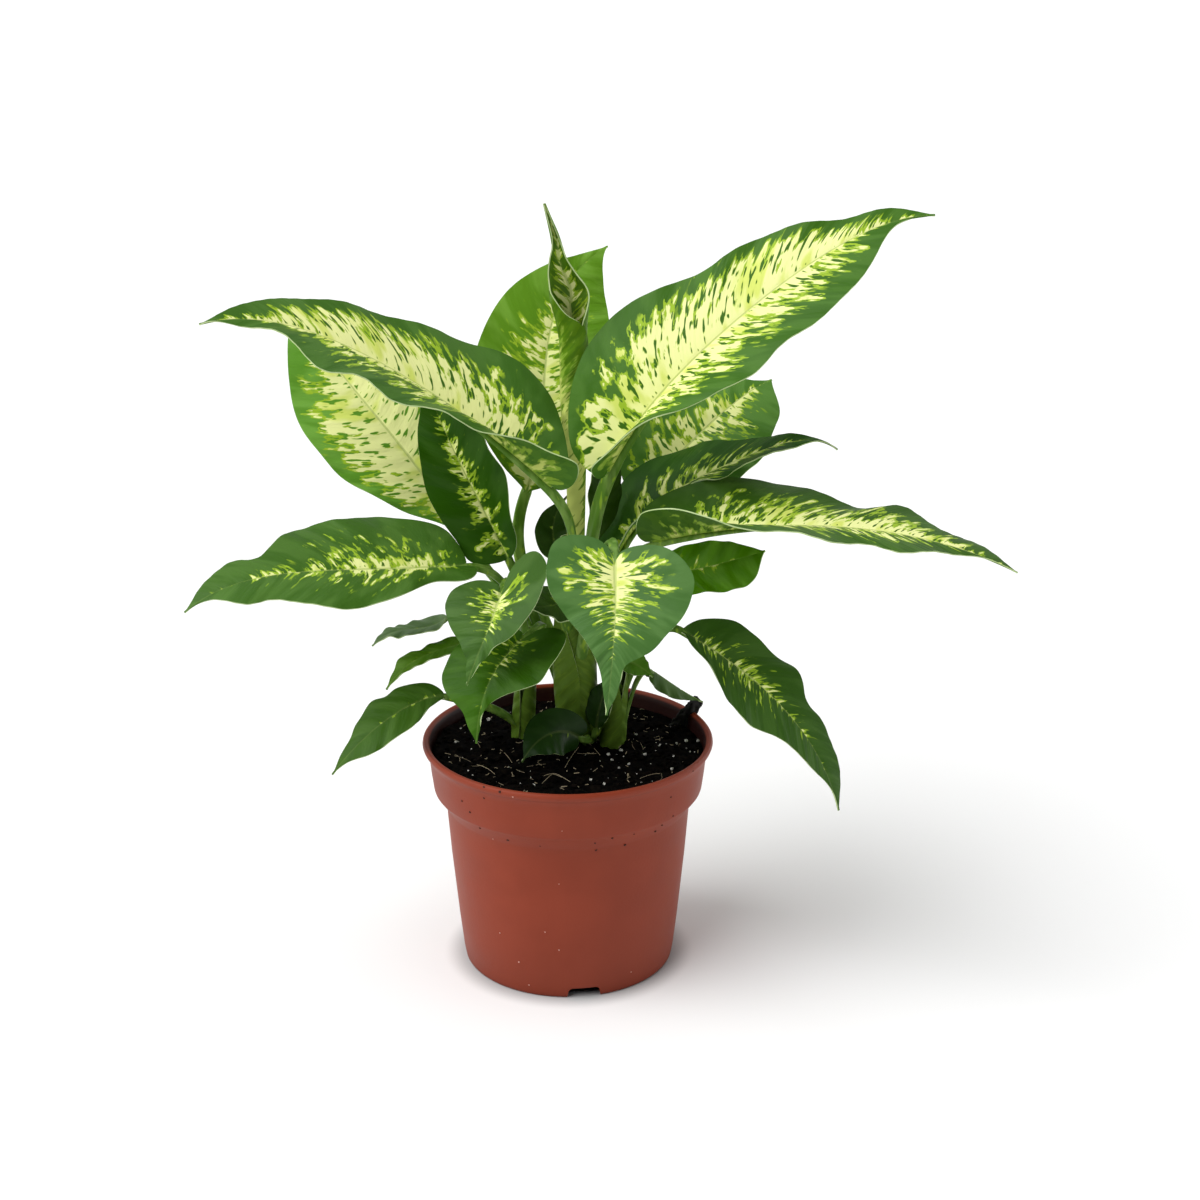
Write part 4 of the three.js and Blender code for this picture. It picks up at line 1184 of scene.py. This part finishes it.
def pale_band(cream, u, t):
    """How far inside the cream a place is, as a share of the half's width. The margin stays green."""
    shares = cream[0 if t < 0 else 1] if isinstance(cream[0], tuple) else cream
    guard = clamp((abs(t) - MARGIN) / MARGIN_STEP)
    inside = smoothly(shares, (len(shares) - 1) * u) - abs(t)
    return inside - MARGIN_DEPTH * guard * guard * (3 - 2 * guard)


def make_blade(name, leaf, seed):
    length = sum((through(leaf["rib"], (i + 1) / 8) - through(leaf["rib"], i / 8)).length for i in range(8))
    fit = random.Random(seed)
    shift, turns = fit.uniform(0, 40), [fit.uniform(0, TURN) for _ in range(2)]
    fine, coarse = leaf["grain"]

    def lay(u, t):
        spot, outward, away, start = blade_point(leaf, u, t)
        side = -1 if t < 0 else 1
        groove = -GROOVE * (1 - 0.7 * u) * exp(-((away / GROOVE_WIDTH) ** 2))
        veins = PLEAT * sin(start * length * PLEATS_PER_MM + turns[0]) * min(1, abs(away) / PLEAT_FADE)
        flutter = FLUTTER * sin(start * FLUTTER_RATE + turns[1] + (2 if t > 0 else 0))
        flutter *= t * t * sin(pi * u)
        chart = (start * length * fine / 10 + shift, side * (abs(away) * coarse / 10 + 2))
        midrib = 0.9 * (1 - 0.75 * u)
        spot = spot + outward * (groove + veins + flutter)
        return spot, chart, pale_band(leaf["cream"], u, t), abs(away) / midrib

    piece = sheet_of("blade_" + name, leaf["rows"], leaf["columns"], lay)
    return clothe(piece, leaf["tone"], leaf["kind"], "leaf_" + name)


for seed, (name, leaf) in enumerate(LEAVES.items()):
    blade = make_blade(name, leaf, seed)
print("last blade has", len(blade.data.polygons), "faces")

# %% [markdown]
# ## Petioles
# A petiole is grooved along its upper side and wider where it clasps the cane. It leaves the cane in one
# direction, arrives along the midrib in another, and runs on under the blade as the raised midrib. A Bezier
# curve joins the two directions, and the tube helper gives it a section that is flattened and grooved.

# %% Petiole skin
PETIOLE_GREEN = paint(92, 128, 40)


def petiole_skin():
    material, tree, shader = new_material("petiole_skin")
    green = blend(tree, 0.55, stored(tree, "tone", "Color"), PETIOLE_GREEN)
    light = {"Hue": 0.485, "Saturation": 0.9, "Value": 1.6, "Color": green}
    light = node(tree, "HueSaturation", light).outputs[0]
    cloud = noise_of(tree, 260.0, 2.0, stretch=(1, 1, 0.22))
    flecks = noise_of(tree, 420.0, 1.0, stretch=(1, 1, 0.3), shift=(3, 1, 0))
    colour = blend(tree, between(tree, cloud, 0.4, 0.65), green, light)
    colour = blend(tree, times(tree, between(tree, flecks, 0.63, 0.7), 0.5), colour, LIME)
    surface(tree, shader, colour, 0.42, 0.12, (0.2, 0.0004, cloud))
    return material


# %% Petioles
PETIOLE_STEPS = 26
PETIOLE_SIDES = 18
NECK_STEPS = 18
NECK = 0.62
NECK_END = 0.35
SEAT = 0.6
CANE_AXIS = Vector((4, 10, 0))


def bezier(points, share):
    rest = 1 - share
    weights = (rest ** 3, 3 * rest * rest * share, 3 * rest * share * share, share ** 3)
    return sum((point * weight for point, weight in zip(points, weights)), Vector((0, 0, 0)))


def grooved(angle, share):
    """Wider than deep, with a groove along the upper side that fades under the blade."""
    wide = 1.0 + 0.25 * (1 - share)
    groove = 0.45 * exp(-((angle / 0.7) ** 2)) * clamp((0.62 - share) / 0.1)
    return wide, 0.9 - groove


def make_petiole(name, leaf, skin):
    root = Vector(leaf["root"])
    bottom, top = leaf["stalk"]
    point, ahead, up, _ = rib_frame(leaf, 0)
    end = point - up * (top * SEAT)
    reach = leaf["pull"] * (end - root).length
    handles = [root, root + Vector(leaf["rise"]).normalized() * reach, end - ahead * reach, end]
    centres = [bezier(handles, share) for share in steps(PETIOLE_STEPS)]
    radii = [mix(bottom, top, share) for share in steps(PETIOLE_STEPS)]
    for share in steps(NECK_STEPS)[1:]:
        point, _, above, _ = rib_frame(leaf, NECK * share)
        radius = mix(top, NECK_END, share ** 0.6)
        centres.append(point - above * (radius * mix(SEAT, 1.0, min(1, share * 6)) + 0.2))
        radii.append(radius)
    inward = (CANE_AXIS - Vector((end.x, end.y, 0))).normalized()

    def facing(share):
        return inward.lerp(up, clamp(share * 1.8))

    stalk = tube("stalk_" + name, centres, radii, PETIOLE_SIDES, grooved, facing)
    tint(stalk, leaf["tone"])
    return settle(stalk, leaf["kind"], "leaf_" + name, material=skin)


skin = petiole_skin()
for name, leaf in LEAVES.items():
    make_petiole(name, leaf, skin)
print("petioles:", len(LEAVES))

# %% [markdown]
# ## The spear
# The youngest leaf is still rolled up, and stands in the middle like a spear that opens near its top. It is
# one sheet rolled round an upright line. Each row of the table gives that line's place, the radius, and how
# far round the left and the right half reach, in degrees from the back. The left half wraps over the right
# one in front, so its radius is a little larger. The sheaths round the canes are rolled in the same way.

# %% Rolled sheets
SPEAR_GREEN = (72, 112, 14)
SPEAR_CREAM = (1.4, 1.7, 1.7, 0.5, 0.15, -0.1)
SPEAR = [
    ((3.0, 7, 150), 3.0, 250, 170), ((3.7, 9, 197), 3.3, 250, 170), ((3.3, 11, 217), 4.2, 250, 170),
    ((3.0, 12, 238), 5.1, 255, 165), ((2.9, 12, 260), 5.3, 255, 150), ((2.4, 11, 269), 6.0, 218, 135),
    ((2.0, 10, 274), 6.8, 165, 115), ((1.6, 9, 280), 7.7, 130, 98), ((0.9, 9, 284), 7.1, 98, 95),
    ((-1.2, 9, 289), 5.4, 92, 95), ((-2.7, 9, 294.5), 3.3, 92, 95), ((-3.0, 9, 299), 2.0, 100, 100),
    ((-3.6, 9, 302), 1.7, 130, 120), ((-4.5, 8, 305.6), 1.4, 140, 130), ((-6.2, 7, 311), 0.8, 130, 130),
    ((-7.9, 7, 316.3), 0.3, 120, 120),
]
SPIRAL = 0.12
THINNEST = 0.25
VEIN_SLOPE = 0.9
ROLLED_MIDRIB = 0.8


def row_at(table, share):
    """Smoothly between the rows of a table."""
    flat = [(*row[0], *row[1:]) for row in table]
    return [smoothly(values, share * (len(table) - 1)) for values in zip(*flat)]


def rolled(name, table, cream, rows, columns, heading=0.0, seed=0):
    heights = [row[0][2] for row in table]
    low, high = heights[0], heights[-1]

    def lay(u, t):
        # The rows are spaced by height, so this finds the share of the table at the height.
        z = mix(low, high, u)
        i = max(j for j, value in enumerate(heights[:-1]) if value <= z + 1e-9)
        share = (i + (z - heights[i]) / (heights[i + 1] - heights[i])) / (len(table) - 1)
        x, y, z, radius, left, right = row_at(table, share)
        angle = radians(left * t if t < 0 else right * t)
        radius = max(radius, THINNEST) - SPIRAL * angle
        spot = Vector((x + radius * sin(angle + heading), y + radius * cos(angle + heading), z))
        side = -1 if t < 0 else 1
        away = abs(angle) * radius
        chart = ((z - low - VEIN_SLOPE * away) / 10 + 60 + seed * 7, side * away / 10 + 2 * side)
        return spot, chart, pale_band(cream, u, t), away / ROLLED_MIDRIB

    return sheet_of(name, rows, columns, lay)


spear = rolled("spear_leaf", SPEAR, SPEAR_CREAM, 150, 48)
clothe(spear, SPEAR_GREEN, "pale_leaf", "leaf_spear")
print("spear:", len(spear.data.polygons), "faces")

# %% Sheaths at the canes
SHEATH_GREEN = (84, 114, 34)
SHEATH_CREAM = (-0.7, -0.7)
SHEATH = 0.45
SHEATHS = {
    "main_sheath": ("cane_main", 0.15, [
        ((4.4, 9, 90), 7.6, 188, 185), ((3.8, 8, 108), 8.6, 196, 180), ((3.2, 7, 122), 8.9, 200, 176),
        ((2.9, 6, 135), 8.8, 186, 168), ((3.2, 6, 147), 8.2, 160, 150), ((3.6, 7, 158), 7.0, 124, 124),
        ((4.2, 8, 168), 5.4, 84, 84),
    ]),
    "inner_sheath": ("cane_main", -0.5, [
        ((3.2, 6, 128), 7.2, 170, 150), ((3.0, 5, 142), 7.0, 168, 146), ((2.4, 5, 156), 6.2, 150, 130),
        ((1.6, 6, 170), 5.0, 120, 100), ((1.0, 7, 182), 3.4, 80, 70),
    ]),
    "right_sheath": ("cane_right", -0.4, [
        ((18.8, 6, 88), 5.2, 188, 185), ((18.8, 5, 102), 5.8, 192, 180), ((19.6, 4, 116), 5.4, 180, 168),
        ((20.6, 3, 130), 4.6, 140, 130), ((21.6, 2, 144), 3.4, 88, 80),
    ]),
    "left_sheath": ("cane_left", 0.5, [
        ((-19.2, 12, 88), 4.4, 188, 185), ((-18.4, 11, 102), 4.6, 190, 180),
        ((-17.4, 10, 116), 4.2, 175, 160), ((-16.6, 9, 130), 3.6, 120, 114), ((-16.2, 8, 142), 2.6, 80, 74),
    ]),
}
for name, (cad, heading, table) in SHEATHS.items():
    sheath = rolled(name, table, SHEATH_CREAM, 60, 36, heading, seed=len(name))
    clothe(sheath, SHEATH_GREEN, "cane", cad, SHEATH)
print("sheaths:", list(SHEATHS))

# %% [markdown]
# ## A painted shadow sheet
# A black sheet hangs from the tip of the drooping leaf over the rim and down to the soil. It is painted
# shadow, a dark thing put where that leaf's shade falls. It is a small sheet, crumpled by noise.

# %% Painted shadow sheet
SHADOW_SHEET_FOOT = Vector((46, 24, 92))
SHADOW_SHEET_TOP = Vector((54.5, 25, 104.5))
SHADOW_SHEET_ACROSS = Vector((0.8, 0.25, -0.5)).normalized()
SHADOW_SHEET_HALF = 4.8


def lay_shadow_sheet(u, t):
    """No part of it is pale or near a midrib."""
    spot = SHADOW_SHEET_FOOT.lerp(SHADOW_SHEET_TOP, u) + SHADOW_SHEET_ACROSS * (SHADOW_SHEET_HALF * t * (1 - 0.4 * u))
    crumple = 1.6 * noise.noise(spot * 0.35) + 0.8 * noise.noise(spot * 0.9)
    return spot + Vector((0, -crumple, crumple - 1.5 * t * t)), (u, t), -1, 9


shadow_sheet = sheet_of("painted_shadow_sheet", 24, 10, lay_shadow_sheet)
# Near-black, because this sheet is painted shadow.
shadow_black = two_tone("painted_shadow_black", 350.0, (7, 7, 6), (24, 21, 16), 0.8, 3.0)
solid = shadow_sheet.modifiers.new("thickness", "SOLIDIFY")
solid.thickness = BLADE * MM
apply_all(shadow_sheet)
bpy.ops.object.shade_smooth()
settle(shadow_sheet, "soil", "soil", material=shadow_black)
print("scrap:", len(shadow_sheet.data.polygons), "faces")
